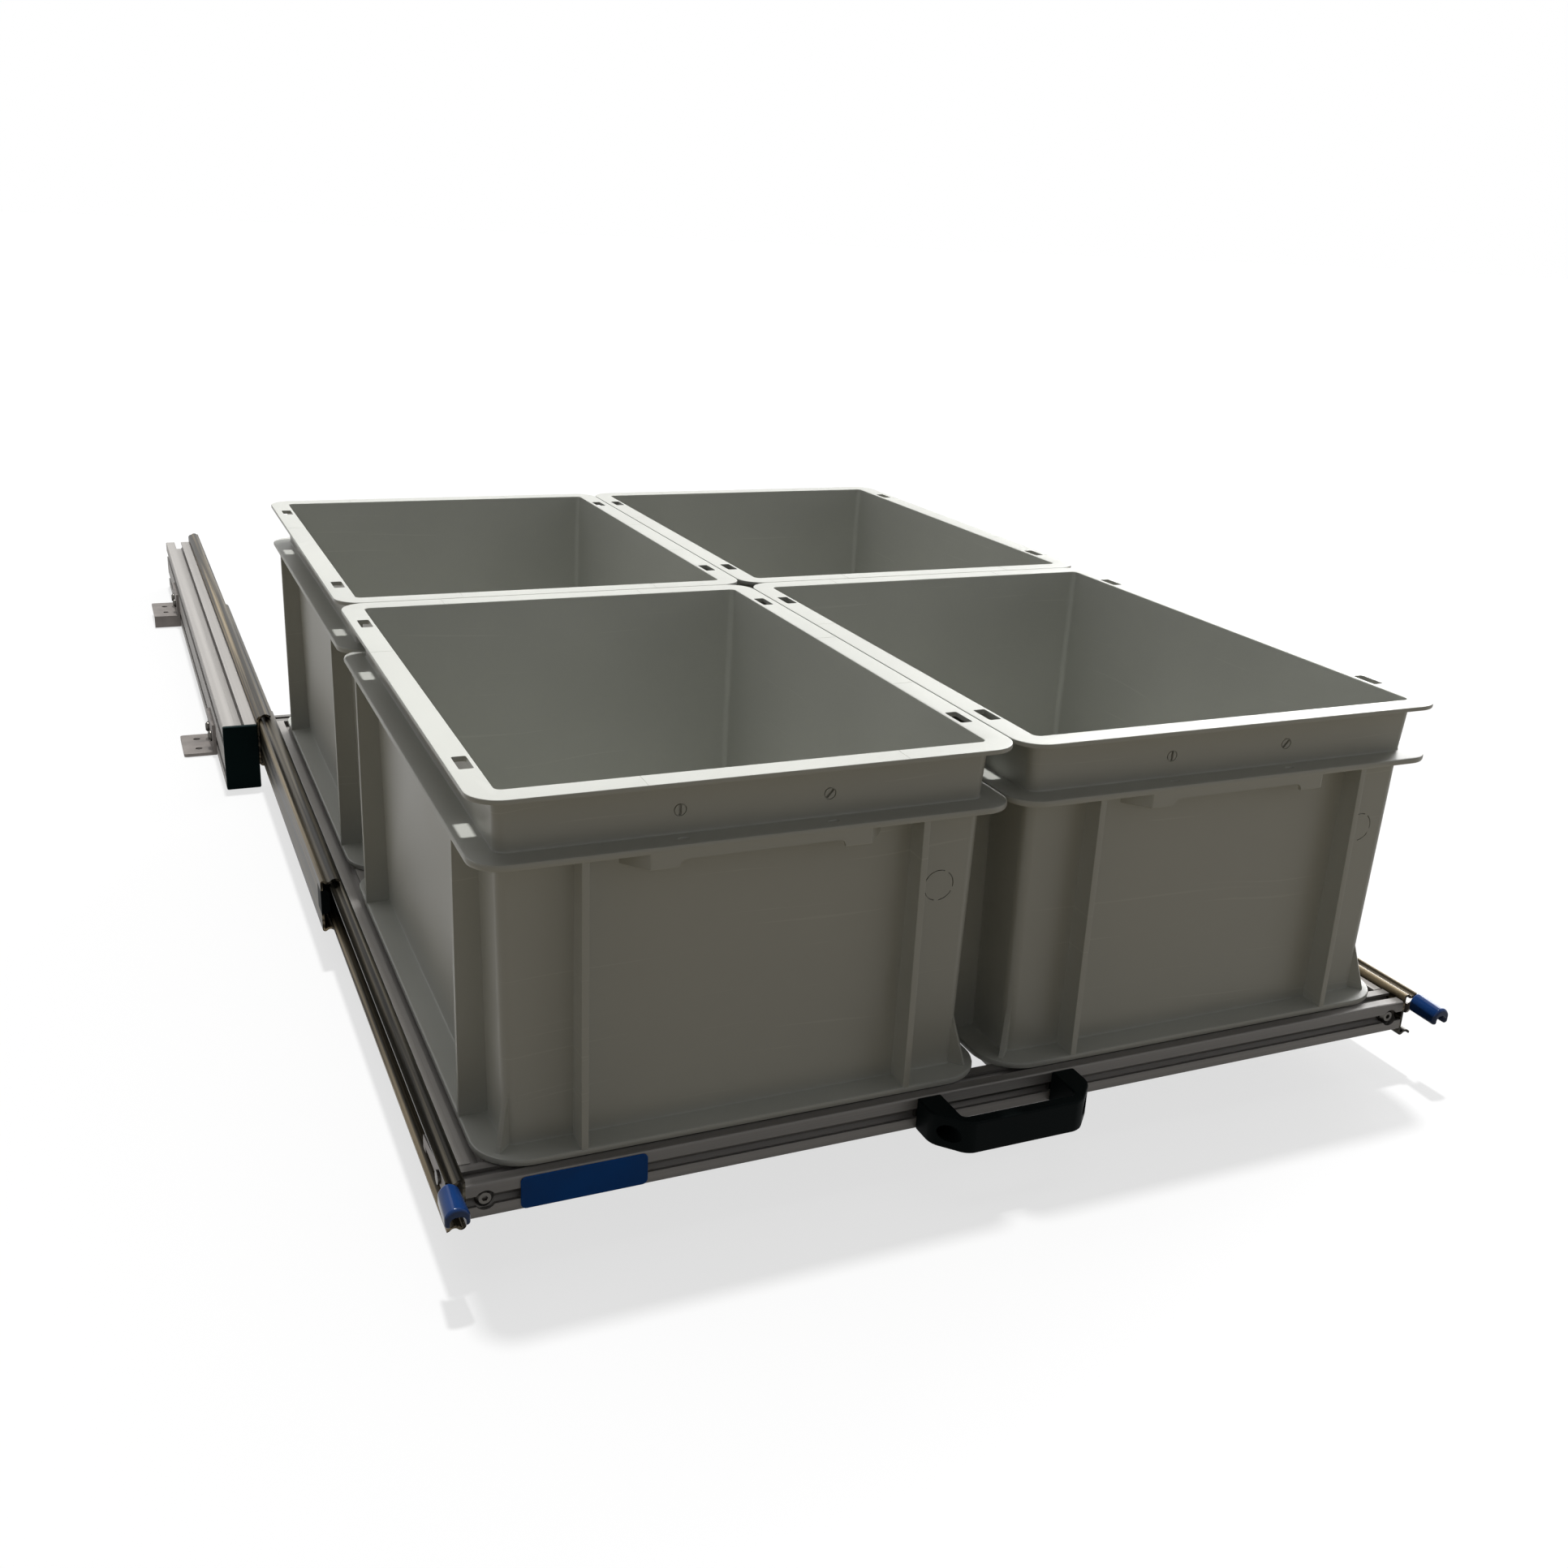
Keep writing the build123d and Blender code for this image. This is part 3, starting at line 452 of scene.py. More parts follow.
def make_finishes(colours):
    groups = {"streak": streak_group(), "grain": grain_group(), "scuff": scuff_group()}
    # Painted shade: the beams across (front, rear and cross beam) get the aluminium at 0.6, a
    # darker copy that stands in for the shade on the front beam, which faces away from the light
    painted_shade_aluminium = shade(colours.aluminium, 0.6)
    plastics = {  # base colour, roughness, depth of grain, specular level
        "black_plastic": (colours.black, 0.5, 0.05 * MM, 0.03),
        "cap_plastic": ((0.004, 0.0125, 0.0135), 0.5, 0.05 * MM, 0.03),
        "blue_plastic": (colours.grip_blue, 0.16, 0.01 * MM, 0.17),
        "blue_plate": (colours.plate_blue, 0.35, 0.02 * MM, 0.07),
    }
    FINISHES.update(
        bin_plastic=bin_finish(colours, groups),
        beam_x=aluminium_finish("Aluminium across", painted_shade_aluminium, groups, (4.0, 1400.0, 1400.0)),
        beam_y=aluminium_finish("Aluminium lengthwise", colours.aluminium, groups,
                                (1400.0, 4.0, 1400.0)),
        zinc_steel=zinc_finish(colours, groups))
    for slot, (colour, roughness) in STEELS.items():
        FINISHES[slot] = plain_metal(slot.replace("_", " ").capitalize(), colour, groups,
                                     roughness)
    for slot, (colour, *values) in plastics.items():
        FINISHES[slot] = grained_plastic(slot.replace("_", " ").capitalize(), colour, groups,
                                         *values)


def finish_of(node, slot):
    """The material that a CAD node of a record slot gets."""
    if slot == "slotted_aluminium":
        return FINISHES["beam_x" if node in BEAMS_ACROSS else "beam_y"]
    if slot == "zinc_steel" and ("bracket" in node or "lever" in node):
        return FINISHES["bracket_steel"]
    if slot == "black_plastic" and "cap" in node:
        return FINISHES["cap_plastic"]
    return FINISHES[slot]


# Modelling steps

def clear_selection():
    bpy.ops.object.select_all(action="DESELECT")


def only(piece):
    clear_selection()
    piece.select_set(True)
    bpy.context.view_layer.objects.active = piece


def settle(piece):
    """Applies the piece's place, turn and scale, so that its object stands at the origin."""
    only(piece)
    bpy.ops.object.transform_apply(location=True, rotation=True, scale=True)
    return piece


def pick(piece, kind, test):
    """Enters edit mode on piece with the vertices, edges or faces that pass test selected."""
    only(piece)
    mesh = piece.data
    for items in (mesh.vertices, mesh.edges, mesh.polygons):
        items.foreach_set("select", [False] * len(items))
    items = {"VERT": mesh.vertices, "EDGE": mesh.edges, "FACE": mesh.polygons}[kind]
    chosen = [item for item in items if test(item)]
    if not chosen:
        raise RuntimeError(f"nothing to pick on {piece.name}")
    for item in chosen:
        item.select = True
    bpy.context.tool_settings.mesh_select_mode = (kind == "VERT", kind == "EDGE", kind == "FACE")
    bpy.ops.object.mode_set(mode="EDIT")


def done():
    bpy.ops.object.mode_set(mode="OBJECT")


def edge_way(piece, edge):
    a, b = (piece.data.vertices[i].co for i in edge.vertices)
    return (b - a).normalized()


def edge_mid(piece, edge):
    a, b = (piece.data.vertices[i].co for i in edge.vertices)
    return (a + b) / 2


def edges_at(piece, axis, test):
    """Test for edges along an axis (0, 1 or 2) whose middle passes test."""
    return lambda edge: abs(edge_way(piece, edge)[axis]) > 0.9 and test(edge_mid(piece, edge))


def round_edges(piece, test, width, steps, **options):
    pick(piece, "EDGE", test)
    bpy.ops.mesh.bevel(offset=width, segments=steps, affect="EDGES", **options)
    done()


def block(name, low, high, soft=0.0):
    """A box between two corners, its edges rounded by soft."""
    clear_selection()
    low, high = Vector(low), Vector(high)
    bpy.ops.mesh.primitive_cube_add(size=1, location=(low + high) / 2)
    piece = bpy.context.object
    piece.name = name
    piece.scale = high - low
    settle(piece)
    if soft:
        round_edges(piece, lambda edge: True, soft, 2)
    return piece


def drum(name, radius, depth, centre, steps=32):
    """A short cylinder about y."""
    clear_selection()
    bpy.ops.mesh.primitive_cylinder_add(vertices=steps, radius=radius, depth=depth,
                                        location=centre, rotation=(math.pi / 2, 0, 0))
    piece = bpy.context.object
    piece.name = name
    return settle(piece)


def move_points(piece, test, by):
    pick(piece, "VERT", test)
    bpy.ops.transform.translate(value=by)
    done()


def boolean(piece, tool, operation):
    """Adds or cuts tool, and removes it."""
    only(piece)
    step = piece.modifiers.new(operation.title(), "BOOLEAN")
    step.operation = operation
    step.solver = "EXACT"
    step.object = tool
    bpy.ops.object.modifier_apply(modifier=step.name)
    bpy.data.objects.remove(tool)


def join_to(piece, other):
    only(piece)
    other.select_set(True)
    bpy.ops.object.join()


def ring(half_x, half_y, radius, z, steps):
    """A flat loop of edges: a rectangle with round corners."""
    clear_selection()
    bpy.ops.mesh.primitive_plane_add(size=2, location=(0, 0, z))
    loop = bpy.context.object
    loop.scale = (half_x, half_y, 1)
    settle(loop)
    pick(loop, "VERT", lambda vertex: True)
    bpy.ops.mesh.bevel(offset=radius, offset_type="OFFSET", segments=steps, affect="VERTICES")
    bpy.ops.mesh.select_all(action="SELECT")
    bpy.ops.mesh.delete(type="ONLY_FACE")
    done()
    return loop


def skin(name, levels, steps):
    """Bridges a row of rings (half x, half y, corner radius, z) and closes both ends.
    The rings are bridged one above another, well apart, and then each is moved to its height."""
    apart = 50 * MM
    body = ring(*levels[0][:3], 0, steps)
    body.name = name
    count = len(body.data.vertices)
    for number, level in enumerate(levels[1:], 1):
        join_to(body, ring(*level[:3], number * apart, steps))
        low = (number - 1) * count
        pick(body, "EDGE", lambda edge: min(edge.vertices) >= low and (
            (edge.vertices[0] < low + count) == (edge.vertices[1] < low + count)))
        bpy.ops.mesh.bridge_edge_loops()
        done()
    for low in (0, (len(levels) - 1) * count):
        pick(body, "VERT", lambda vertex: low <= vertex.index < low + count)
        bpy.ops.mesh.edge_face_add()
        done()
    for number, level in enumerate(levels):
        move_points(body, lambda vertex: vertex.index // count == number,
                    (0, 0, level[3] - number * apart))
    recalculate(body)
    return body


def recalculate(piece):
    pick(piece, "FACE", lambda face: True)
    bpy.ops.mesh.normals_make_consistent(inside=False)
    done()


def soften(piece, width, steps, degrees=30):
    """Rounds every edge sharper than the angle."""
    only(piece)
    step = piece.modifiers.new("Soft edges", "BEVEL")
    step.width = width
    step.segments = steps
    step.limit_method = "ANGLE"
    step.angle_limit = math.radians(degrees)
    bpy.ops.object.modifier_apply(modifier=step.name)


def smooth(piece, degrees):
    """Smooth shading that leaves large flat faces flat beside their rounded edges."""
    only(piece)
    bpy.ops.object.shade_smooth_by_angle(angle=math.radians(degrees))
    step = piece.modifiers.new("Flat faces", "WEIGHTED_NORMAL")
    step.keep_sharp = True
    bpy.ops.object.modifier_apply(modifier=step.name)


def finished(piece, name, slot, body, *nodes):
    """Names a piece, gives it its slot's material and its body, and hides what it stands for."""
    piece.name = name
    piece.data.name = name
    piece.data.materials.clear()
    piece.data.materials.append(FINISHES[slot])
    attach(piece, body)
    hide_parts(*nodes)


# Pieces

def bin_levels(sizes, half, height):
    """Rings of the whole skin of a bin, from its inner floor up, over the rim and down to its foot.
    Heights count from the underside of the ledge."""
    out_x, out_y = half
    open_x, open_y = out_x - sizes.rim_width, out_y - sizes.rim_width
    wall = sizes.wall
    thick = 3 * MM  # of the floor, and of the step above the foot
    inner, outer, foot_corner = 4.0 * MM, 6.5 * MM, 4.1 * MM
    collar_corner, rim_corner, ledge_corner = 6.2 * MM, 18 * MM, 28 * MM

    def near(x, y, radius, z, *steps):
        """Rings that round one corner of the section, each some millimetres out and up from it."""
        return [(x + out * MM, y + out * MM, max(0.3 * MM, radius + out * MM), z + up * MM)
                for out, up in steps]

    collar_x, collar_y = open_x + wall, open_y + wall
    body_x, body_y = open_x + wall - DRAFT, open_y + wall - DRAFT
    base_x, base_y = body_x - LEAN, body_y - LEAN
    low_x, low_y = body_x - wall - LEAN, body_y - wall - LEAN
    ledge_x, ledge_y = out_x - 1 * MM, out_y - 1 * MM
    foot_x, foot_y = base_x - 2.5 * MM, base_y - 2.5 * MM
    floor_x, floor_y = foot_x - wall, foot_y - wall
    floor, foot_low = -sizes.foot + thick, -sizes.foot
    flange_top = height - sizes.collar
    flange_low = flange_top - sizes.flange
    rim_low = height - sizes.rim_thick
    return [
        *near(floor_x, floor_y, inner, floor, (-3.5, 0), (-1.0, 0.9), (0, 3.4)),
        *near(floor_x, floor_y, inner, thick, (0, -1.0), (0.5, -0.1)),
        *near(low_x, low_y, inner, thick, (-0.6, 0), (0, 0.8)),
        *near(open_x - DRAFT, open_y - DRAFT, inner, flange_top, (0, -1)),
        *near(open_x, open_y, inner, height, (-0.03, -1.2), (0.15, -0.3), (0.8, 0)),
        *near(out_x, out_y, rim_corner, height, (-0.7, 0), (-0.2, -0.17), (0, -0.6)),
        *near(out_x, out_y, rim_corner, rim_low, (0, 0.5), (-0.15, 0.15), (-0.6, 0)),
        *near(collar_x, collar_y, collar_corner, rim_low, (1.3, 0), (0.3, -0.25), (-0.1, -1.2)),
        *near(body_x, body_y, collar_corner, flange_top, (0.05, 1.3), (0.4, 0.35), (1.4, 0)),
        *near(out_x, out_y, rim_corner, flange_top, (-1.4, 0), (-0.4, -0.35), (0, -1.3)),
        *near(out_x, out_y, rim_corner, flange_low, (0, 1.3), (-0.4, 0.35), (-1.4, 0)),
        *near(body_x, body_y, outer, flange_low, (1.2, 0), (0.3, -0.3), (-0.05, -1.3)),
        *near(base_x, base_y, outer, sizes.ledge, (0.08, 1.6), (0.45, 0.4), (1.6, 0)),
        *near(ledge_x, ledge_y, ledge_corner, sizes.ledge, (-1.5, 0), (-0.4, -0.4), (0, -1.5)),
        *near(ledge_x, ledge_y, ledge_corner, 0, (0, 1.2), (-0.3, 0.3), (-1.2, 0)),
        *near(foot_x, foot_y, foot_corner, 0, (1.0, 0), (0, -1.0)),
        *near(foot_x, foot_y, foot_corner, foot_low, (0, 2.6), (-0.8, 0.7), (-2.6, 0)),
    ]


def bin_ribs(sizes, half, height):
    """Upright ribs on the four walls, each let into the wall, the ledge and the flange."""
    wall_top = Vector(half) - Vector((1, 1)) * (sizes.rim_width - sizes.wall + DRAFT)
    foot, top = sizes.ledge - LET_IN, height - sizes.collar - sizes.flange + LET_IN
    from_middle, from_end = 94 * MM, 55 * MM
    root, margin = 0.9 * MM, 1.2 * MM  # into the wall, and short of the ledge's edge

    def rib(axis, side, along):
        """A rib on the wall at side of axis, its lower end drawn in as the wall leans."""
        ends = sorted((side * (wall_top[axis] - root), side * (half[axis] - margin)))
        low, high = ((end, place, z) if axis == 0 else (place, end, z) for end, place, z in (
            (ends[0], along - sizes.rib / 2, foot), (ends[1], along + sizes.rib / 2, top)))
        piece = block("rib", low, high, 0.5 * MM)
        move_points(piece, lambda v: v.co.z < (foot + top) / 2
                    and abs(v.co[axis]) < wall_top[axis] + 1 * MM,
                    (-side * LEAN, 0, 0) if axis == 0 else (0, -side * LEAN, 0))
        return piece

    ribs = []
    for side in (-1, 1):
        ribs += [rib(1, side, x) for x in (-from_middle, from_middle)]
        ribs += [rib(0, side, y) for y in (-half[1] + from_end, half[1] - from_end)]
    return ribs


def bin_gussets(sizes, half):
    """Sloping webs from the ledge's corners up the body's corners."""
    thick, foot, tip, tall = 3.0 * MM, 10.9 * MM, 1.3 * MM, 35 * MM
    from_corner = 19.5 * MM
    root = Vector((half[0] - from_corner, half[1] - from_corner))
    gussets = []
    for sx in (-1, 1):
        for sy in (-1, 1):
            web = block("gusset", (0, -thick / 2, sizes.ledge - LET_IN), (foot, thick / 2, tall),
                        0.3 * MM)
            move_points(web, lambda v: v.co.x > foot / 2 and v.co.z > tall / 2,
                        (-foot + tip, 0, 0))
            move_points(web, lambda v: v.co.x < 0.5 * MM and v.co.z > tall / 2, (0.5 * MM, 0, 0))
            web.rotation_euler = (0, 0, math.atan2(sy, sx))
            web.location = (sx * root.x, sy * root.y, 0)
            gussets.append(settle(web))
    return gussets


def splay_back(piece, back_of, by):
    """Spreads the rear corners of a grip's block, those with y below back_of, by this much."""
    for side in (-1, 1):
        move_points(piece, lambda v: v.co.y < back_of and side * v.co.x > 0, (side * by, 0, 0))


def bin_grip(sizes, half, height, side):
    """Finger grip under the flange: a hollow bar, bent back to the wall, deeper at its ends."""
    flange_low = height - sizes.collar - sizes.flange
    face = half[1] - 0.3 * MM
    back = half[1] - sizes.rim_width - 0.6 * MM
    wide, splay, thick, deep = 61 * MM, 13 * MM, 2.4 * MM, 8.5 * MM
    scoop_wide, scoop_high, scoop_corner = 46 * MM, 4 * MM, 4.2 * MM
    outer = block("grip", (-wide, back, flange_low - deep), (wide, face, flange_low + LET_IN))
    splay_back(outer, (face + back) / 2, splay)
    at_front = edges_at(outer, 2, lambda middle: middle.y > face - 1 * MM)
    round_edges(outer, lambda e: at_front(e) or (
        abs(edge_way(outer, e).z) < 0.5 and edge_mid(outer, e).z < flange_low - 4 * MM),
        0.7 * MM, 2)
    slope = splay / (face - back)
    wide_in = wide + slope * thick - thick * math.hypot(1, slope)
    inner = block("inside", (-wide_in, back - 3 * MM, flange_low - deep - 2 * MM),
                  (wide_in, face - thick, flange_low + 0.1 * MM))
    splay_back(inner, face - 6 * MM, slope * (face - thick - back + 3 * MM))
    boolean(outer, inner, "DIFFERENCE")
    scoop = block("scoop", (-scoop_wide, face - 4 * MM, flange_low - deep - 5 * MM),
                  (scoop_wide, face + 2 * MM, flange_low - scoop_high))
    round_edges(scoop, edges_at(scoop, 1, lambda middle: middle.z > flange_low - deep),
                scoop_corner, 5)
    boolean(outer, scoop, "DIFFERENCE")
    if side < 0:
        outer.rotation_euler = (0, 0, math.pi)
        settle(outer)
    return outer


def bin_rim_cuts(sizes, half, height):
    """Four lashing holes through the rim, and the fine lines where the plastic flowed together."""
    hole_x, hole_y, hole_corner = 3.8 * MM, 9.7 * MM, 1.2 * MM
    from_side, from_end = 8.9 * MM, 57.2 * MM
    deep, fine = 0.12 * MM, 0.16 * MM
    cuts = []
    for x in (-1, 1):
        for y in (-1, 1):
            at_x, at_y = x * (half[0] - from_side), y * (half[1] - from_end)
            hole = block("hole", (at_x - hole_x, at_y - hole_y, height - 8 * MM),
                         (at_x + hole_x, at_y + hole_y, height + 5 * MM))
            round_edges(hole, edges_at(hole, 2, lambda middle: True), hole_corner, 4)
            cuts.append(hole)

    def span(axis, side):
        """From just inside the rim to just outside it."""
        return sorted((side * (half[axis] - sizes.rim_width - 1 * MM),
                       side * (half[axis] + 1 * MM)))

    for at_x, side in ((-63 * MM, -1), (80 * MM, -1), (-80 * MM, 1), (63 * MM, 1)):
        low, high = span(1, side)
        cuts.append(block("line", (at_x - fine, low, height - deep),
                          (at_x + fine, high, height + 2 * MM)))
    for at_y, side in ((38 * MM, 1), (-72 * MM, 1), (72 * MM, -1)):
        low, high = span(0, side)
        cuts.append(block("line", (low, at_y - fine, height - deep),
                          (high, at_y + fine, height + 2 * MM)))
    return cuts


def ring_groove(radius, width, depth, centre, steps):
    """A ring about y to cut a round groove with."""
    groove = drum("groove", radius, depth, centre, steps)
    boolean(groove, drum("core", radius - width, 3.0 * MM, centre, steps), "DIFFERENCE")
    return groove


def turned(piece, degrees, centre):
    """Turns a piece about y and sets it down at centre."""
    piece.rotation_euler = (0, math.radians(degrees), 0)
    piece.location = centre
    return settle(piece)


def bin_marks(piece, sizes, half, height):
    """Two mould discs with a slot on the collar, two dimples in the flange, and a broken ring
    by the front rib."""
    disc, disc_x, mark_radius, line = 3.5 * MM, 41.4 * MM, 9.3 * MM, 0.55 * MM
    collar = -(half[1] - sizes.rim_width + sizes.wall)
    front = collar + 0.92 * MM
    z = height - 20 * MM
    for x, slant in ((-disc_x, 90), (disc_x, -50)):
        groove = ring_groove(disc, line, 1.6 * MM, (x, front, z), 28)
        slot = block("slot", (-2.9 * MM, -2.2 * MM, -0.75 * MM), (2.9 * MM, 0, 0.75 * MM))
        turned(slot, slant, (x, front + 1.4 * MM, z))
        boolean(piece, groove, "DIFFERENCE")
        boolean(piece, slot, "DIFFERENCE")
        clear_selection()
        bpy.ops.mesh.primitive_uv_sphere_add(
            segments=20, ring_count=10, radius=1.0,
            location=(x, -half[1] + 7.5 * MM, height - sizes.collar + 0.2 * MM))
        dimple = bpy.context.object
        dimple.scale = (3.4 * MM, 1.9 * MM, 1.2 * MM)
        boolean(piece, settle(dimple), "DIFFERENCE")
    place = (112 * MM, collar + DRAFT + 1.1 * MM, height - 82 * MM)
    mark = ring_groove(mark_radius, line, 1.5 * MM, place, 40)
    for degrees in (20, 95, 190, 300):
        gap = block("gap", (6 * MM, -2 * MM, -1.4 * MM), (12 * MM, 2 * MM, 1.4 * MM))
        boolean(mark, turned(gap, degrees, place), "DIFFERENCE")
    boolean(piece, mark, "DIFFERENCE")


class PULLOUT_OT_bins(bpy.types.Operator):
    """Model one stacking bin and copy it to its four places"""
    bl_idname = "pullout.bins"
    bl_label = "Stacking bins"

    def execute(self, context):
        sizes = context.scene.pullout_bins
        low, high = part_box(BINS[0])
        half = ((high.x - low.x) / 2, (high.y - low.y) / 2)
        height = high.z - low.z - sizes.foot
        first = skin("bin", bin_levels(sizes, half, height), sizes.corner_steps)
        for extra in bin_ribs(sizes, half, height) + bin_gussets(sizes, half) + [
                bin_grip(sizes, half, height, side) for side in (-1, 1)]:
            boolean(first, extra, "UNION")
        for cut in bin_rim_cuts(sizes, half, height):
            boolean(first, cut, "DIFFERENCE")
        bin_marks(first, sizes, half, height)
        recalculate(first)
        smooth(first, 38)
        for node in BINS:
            piece = first
            if node != BINS[-1]:
                only(first)
                bpy.ops.object.duplicate()
                piece = context.object
            low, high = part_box(node)
            piece.location = ((low.x + high.x) / 2, (low.y + high.y) / 2, low.z + sizes.foot)
            settle(piece)
            finished(piece, node + "_moulded", "bin_plastic", node + "_body", node)
        return {"FINISHED"}


class PULLOUT_OT_handle(bpy.types.Operator):
    """Model the bow handle on the front beam"""
    bl_idname = "pullout.handle"
    bl_label = "Handle"

    def execute(self, context):
        sizes = context.scene.pullout_front
        low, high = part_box("handle")
        end = high.x
        knee = high.y - sizes.handle_side
        past = 5 * MM  # how far a tool reaches out of the handle
        corner, inside_corner, soft = 4.5 * MM, 3 * MM, 1.3 * MM
        bore_radius, bore_long = 2.75 * MM, 30 * MM
        bow = block("handle", low, high)
        for side in (-1, 1):
            way = Vector((side * (knee - low.y), -(end - sizes.handle_front / 2), 0))
            pick(bow, "FACE", lambda face: True)
            bpy.ops.mesh.bisect(plane_co=(side * end, knee, 0), plane_no=way.normalized(),
                                use_fill=True, clear_outer=True)
            done()
        round_edges(bow, edges_at(bow, 2, lambda middle: middle.y < high.y - 1 * MM), corner, 5)
        gap = block("gap", (-sizes.handle_gap / 2, low.y + sizes.handle_bar, low.z - past),
                    (sizes.handle_gap / 2, high.y + past, high.z + past))
        round_edges(gap, edges_at(gap, 2, lambda middle: middle.y < high.y), inside_corner, 5)
        boolean(bow, gap, "DIFFERENCE")
        soften(bow, soft, 3)
        screw_x = (end + sizes.handle_gap / 2) / 2
        screw_z = (low.z + high.z) / 2
        mouth, seat = low.y - past, high.y - sizes.handle_foot
        for side in (-1, 1):
            pocket = drum("pocket", sizes.screw_pocket, seat - mouth,
                          (side * screw_x, (mouth + seat) / 2, screw_z))
            boolean(bow, pocket, "DIFFERENCE")
            bore = drum("bore", bore_radius, bore_long, (side * screw_x, high.y, screw_z), 24)
            boolean(bow, bore, "DIFFERENCE")
        smooth(bow, 40)
        finished(bow, "bow_handle", "black_plastic", "drawer", "handle")
        return {"FINISHED"}


class PULLOUT_OT_lever_grips(bpy.types.Operator):
    """Model the lever grip and mirror it to the other slide"""
    bl_idname = "pullout.lever_grips"
    bl_label = "Lever grips"

    def execute(self, context):
        wall = context.scene.pullout_front.grip_wall
        low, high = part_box("right_lever_grip")
        mid = (low.x + high.x) / 2
        under = low.z - 3 * MM
        crown, arch_high, arch_corner = 5.2 * MM, 6.2 * MM, 3.2 * MM
        grip = block("grip", low, high)
        for side in (-1, 1):
            move_points(grip, lambda v: v.co.y > high.y - 1 * MM and side * (v.co.x - mid) > 0,
                        (-side * 1.0 * MM, 0, 0))
        move_points(grip, lambda v: v.co.y < low.y + 1 * MM and v.co.z > high.z - 1 * MM,
                    (0, 0, -0.8 * MM))
        round_edges(grip, edges_at(grip, 1, lambda middle: middle.z > high.z - 2 * MM), crown, 8,
                    profile=0.42)
        soften(grip, 2.0 * MM, 5)
        inside = block("inside", (low.x + wall, low.y + wall, under),
                       (high.x - wall, high.y + 3 * MM, high.z - wall), 1.0 * MM)
        boolean(grip, inside, "DIFFERENCE")
        arch = block("arch", (low.x + wall, low.y - 2 * MM, under),
                     (high.x - wall, low.y + wall + 1 * MM, low.z + arch_high))
        round_edges(arch, edges_at(arch, 1, lambda middle: middle.z > low.z + 6 * MM),
                    arch_corner, 6)
        boolean(grip, arch, "DIFFERENCE")
        smooth(grip, 42)
        only(grip)
        bpy.ops.object.duplicate()
        other = context.object
        other.scale = (-1, 1, 1)
        settle(other)
        recalculate(other)
        smooth(other, 42)
        for side, piece in (("right", grip), ("left", other)):
            finished(piece, side + "_grip_cap", "blue_plastic", side + "_lever",
                     side + "_lever_grip")
        return {"FINISHED"}


class PULLOUT_OT_front_plate(bpy.types.Operator):
    """Model the bare plate on the front beam"""
    bl_idname = "pullout.front_plate"
    bl_label = "Front plate"

    def execute(self, context):
        corner = context.scene.pullout_front.plate_corner
        low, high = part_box("front_plate")
        plate = block("plate", low, high)
        round_edges(plate, edges_at(plate, 1, lambda middle: True), corner, 6)
        pick(plate, "FACE", lambda face: face.normal.y < -0.9)
        bpy.ops.mesh.inset(thickness=0.9 * MM, depth=0)
        bpy.ops.mesh.inset(thickness=0.5 * MM, depth=-0.12 * MM)
        done()
        soften(plate, 0.35 * MM, 3, 50)
        smooth(plate, 40)
        finished(plate, "blank_plate", "blue_plate", "drawer", "front_plate")
        return {"FINISHED"}


class PULLOUT_OT_cad_finishes(bpy.types.Operator):
    """Make the finishes, and give every CAD node that stays in view its own"""
    bl_idname = "pullout.cad_finishes"
    bl_label = "Finishes of the frame"

    def execute(self, context):
        make_finishes(context.scene.pullout_colours)
        for row in frame["record"]["subparts"]:
            node = frame["nodes"][row["node"]]
            if not node.material_slots:
                node.data.materials.append(None)
            for place in node.material_slots:
                place.material = finish_of(row["node"], row["material_slot"])
        return {"FINISHED"}


class PULLOUT_OT_stage(bpy.types.Operator):
    """Add the floor, the lights and the camera"""
    bl_idname = "pullout.stage"
    bl_label = "Stage"

    def execute(self, context):
        settings = context.scene.pullout_stage
        clear_selection()
        bpy.ops.mesh.primitive_plane_add(size=60, location=(0, 0, CAD_BOX[0][2] - 0.5 * MM))
        floor = context.object
        floor.name = "floor"
        floor.data.materials.append(pale_ground())
        context.scene.world = soft_sky(settings.sky)
        for name, (source, spread) in LAMPS.items():
            add_lamp(name, source, spread, getattr(settings, name))
        add_camera(settings)
        context.scene.view_settings.view_transform = "Standard"
        return {"FINISHED"}


def seen_directly(tree):
    """1 for rays from the camera, in gloss and through glass, and 0 for light that bounces."""
    rays = add_node(tree, "LightPath")
    seen = add_node(tree, "Math", "MAXIMUM")
    through = add_node(tree, "Math", "MAXIMUM")
    link(tree, rays, "Is Camera Ray", seen, 0)
    link(tree, rays, "Is Glossy Ray", seen, 1)
    link(tree, seen, "Value", through, 0)
    link(tree, rays, "Is Transmission Ray", through, 1)
    return through


def pale_ground():
    """Pale floor that keeps the object's shadow: near white where it is seen directly, and
    darker and warmer in the light that it throws back."""
    bounced, shown, glow = (0.14, 0.118, 0.08), (0.74, 0.74, 0.74), 0.7
    ground, tree, shader = new_finish("Pale floor", shown, 0.0, 0.95, 0.0)
    white = add_node(tree, "Emission")
    lift = add_node(tree, "MixShader")
    seen = seen_directly(tree)
    tone = blend_colours(tree, seen, "Value", bounced, shown)
    link(tree, tone, "Result", shader, "Base Color")
    share = ramp(tree, seen, "Value", 0.0, glow)
    link(tree, share, "Result", lift, "Fac")
    link(tree, shader, "BSDF", lift, 1)
    link(tree, white, "Emission", lift, 2)
    link(tree, lift, "Shader", tree.nodes["Material Output"], "Surface")
    return ground


def soft_sky(strength):
    """White where it is seen directly, and a soft grey light otherwise."""
    sky = bpy.data.worlds.new("Soft sky")
    sky.use_nodes = True
    tree = sky.node_tree
    background = tree.nodes["Background"]
    background.inputs["Color"].default_value = (1.0, 1.0, 1.0, 1.0)
    level = ramp(tree, seen_directly(tree), "Value", strength, 1.0)
    link(tree, level, "Result", background, "Strength")
    return sky


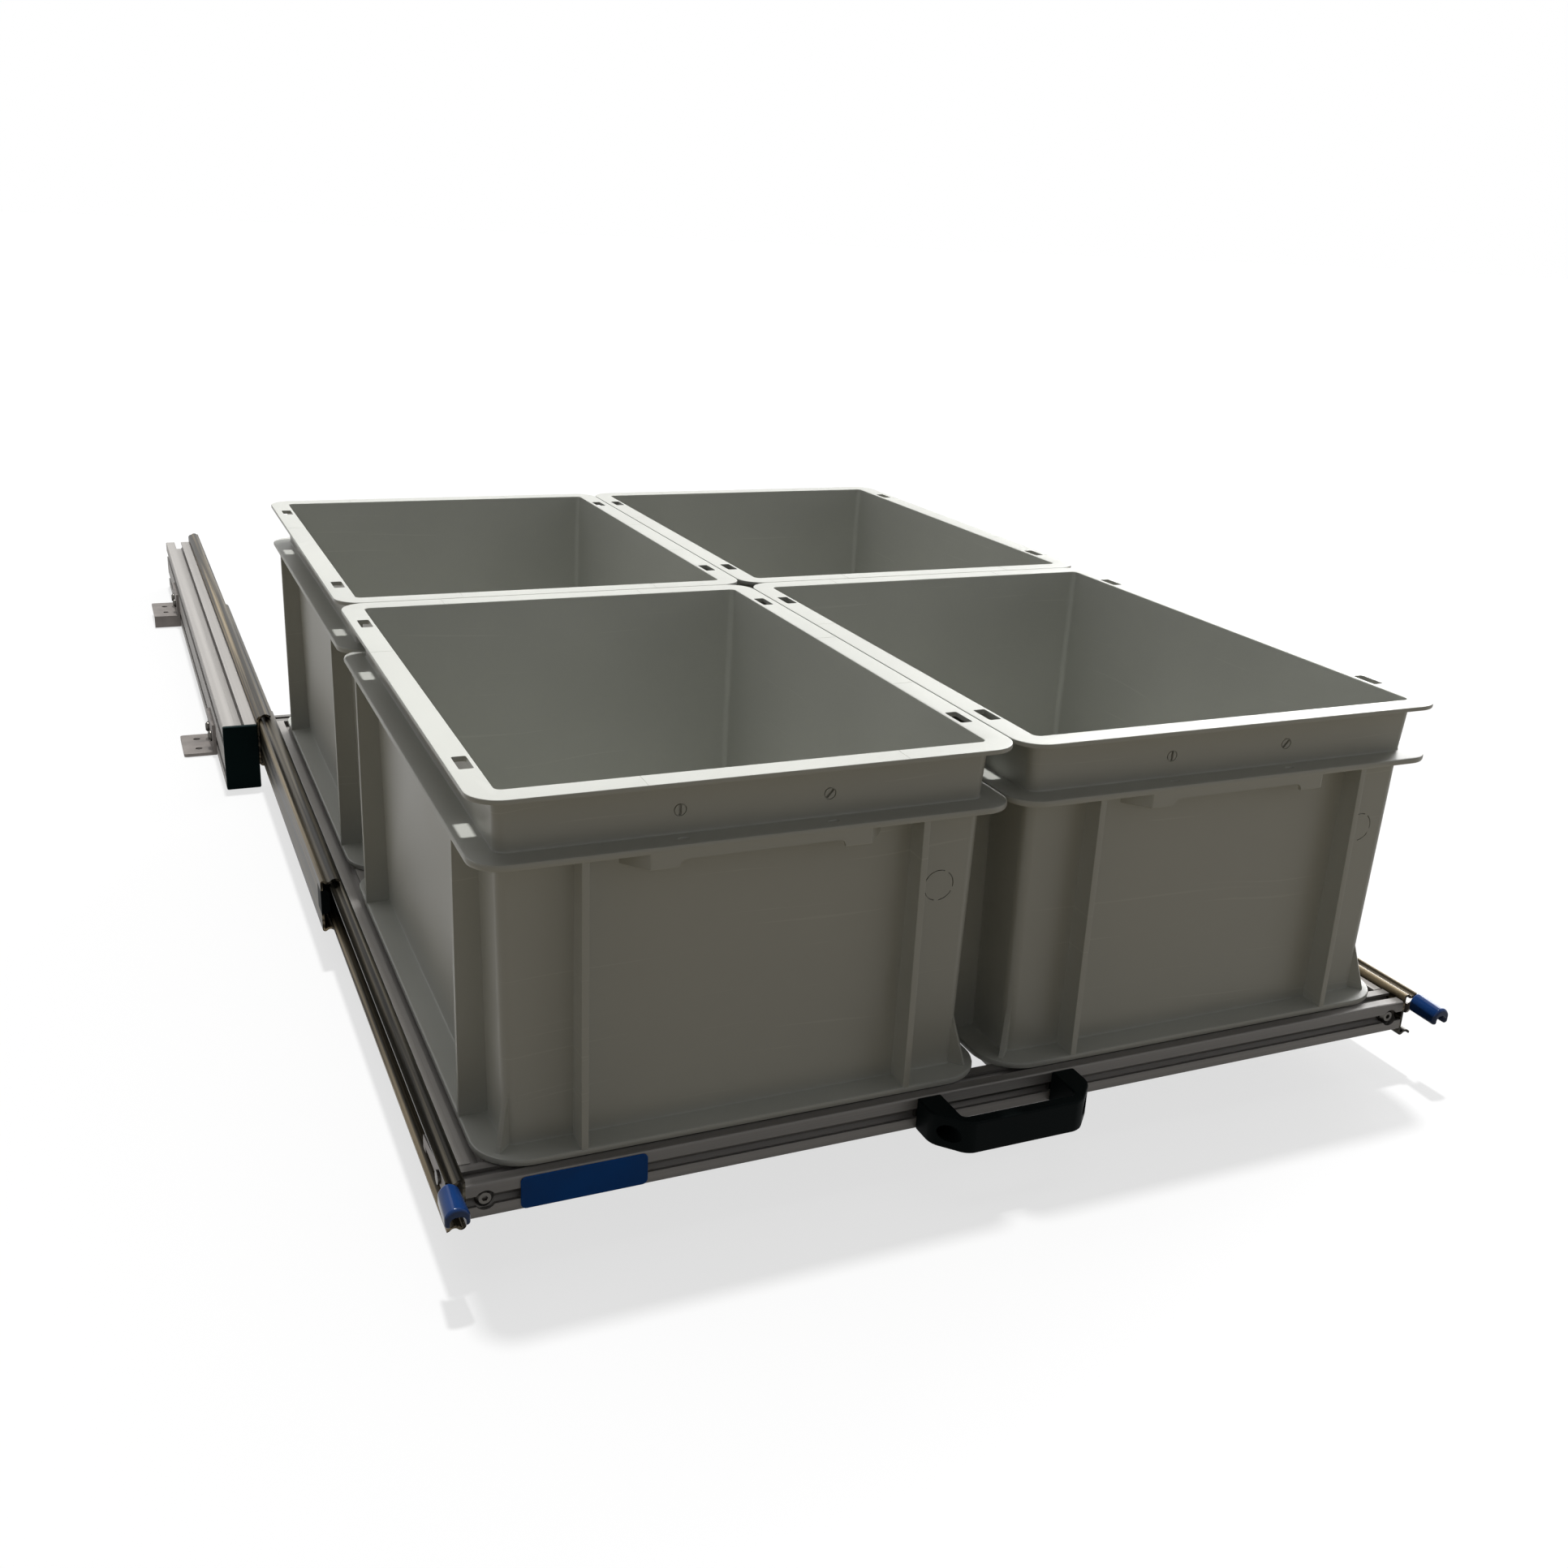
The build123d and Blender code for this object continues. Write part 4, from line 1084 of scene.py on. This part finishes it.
def add_lamp(name, source, spread, strength):
    """Light from a direction, even over the whole floor; spread is in degrees."""
    clear_selection()
    turn = Vector(source).to_track_quat("Z", "Y").to_euler()
    bpy.ops.object.light_add(type="SUN", rotation=turn)
    lamp = bpy.context.object
    lamp.name = name
    lamp.data.energy = strength
    lamp.data.angle = math.radians(spread)


def add_camera(settings):
    """The photograph's view: in front of the left front corner, a little above the bins."""
    clear_selection()
    bpy.ops.object.camera_add(location=settings.camera_place, rotation=settings.camera_turn)
    camera = bpy.context.object
    camera.name = "camera"
    camera.data.lens = settings.lens
    camera.data.sensor_width = 36.0
    camera.data.clip_start = 0.01
    bpy.context.scene.camera = camera


class PULLOUT_PT_panel(bpy.types.Panel):
    bl_label = "Pull-out bin frame"
    bl_idname = "PULLOUT_PT_panel"
    bl_space_type = "VIEW_3D"
    bl_region_type = "UI"
    bl_category = "Bin frame"

    def draw(self, context):
        for operator in OPERATORS:
            self.layout.operator(operator.bl_idname)
        for place, group in GROUPS.items():
            column = self.layout.column()
            for name in group.__annotations__:
                column.prop(getattr(context.scene, place), name)


OPERATORS = (PULLOUT_OT_cad_finishes, PULLOUT_OT_bins, PULLOUT_OT_handle, PULLOUT_OT_lever_grips,
             PULLOUT_OT_front_plate, PULLOUT_OT_stage)
GROUPS = {"pullout_bins": BinSizes, "pullout_front": FrontSizes, "pullout_colours": FinishColours,
          "pullout_stage": StageSettings}
CLASSES = (*GROUPS.values(), *OPERATORS, PULLOUT_PT_panel)


def register():
    for cls in CLASSES:
        bpy.utils.register_class(cls)
    for name, group in GROUPS.items():
        setattr(bpy.types.Scene, name, PointerProperty(type=group))


def unregister():
    for name in GROUPS:
        delattr(bpy.types.Scene, name)
    for cls in reversed(CLASSES):
        bpy.utils.unregister_class(cls)


def main():
    register()
    bpy.ops.pullout.cad_finishes()
    bpy.ops.pullout.bins()
    bpy.ops.pullout.handle()
    bpy.ops.pullout.lever_grips()
    bpy.ops.pullout.front_plate()
    bpy.ops.pullout.stage()


if __name__ == "__main__":
    main()
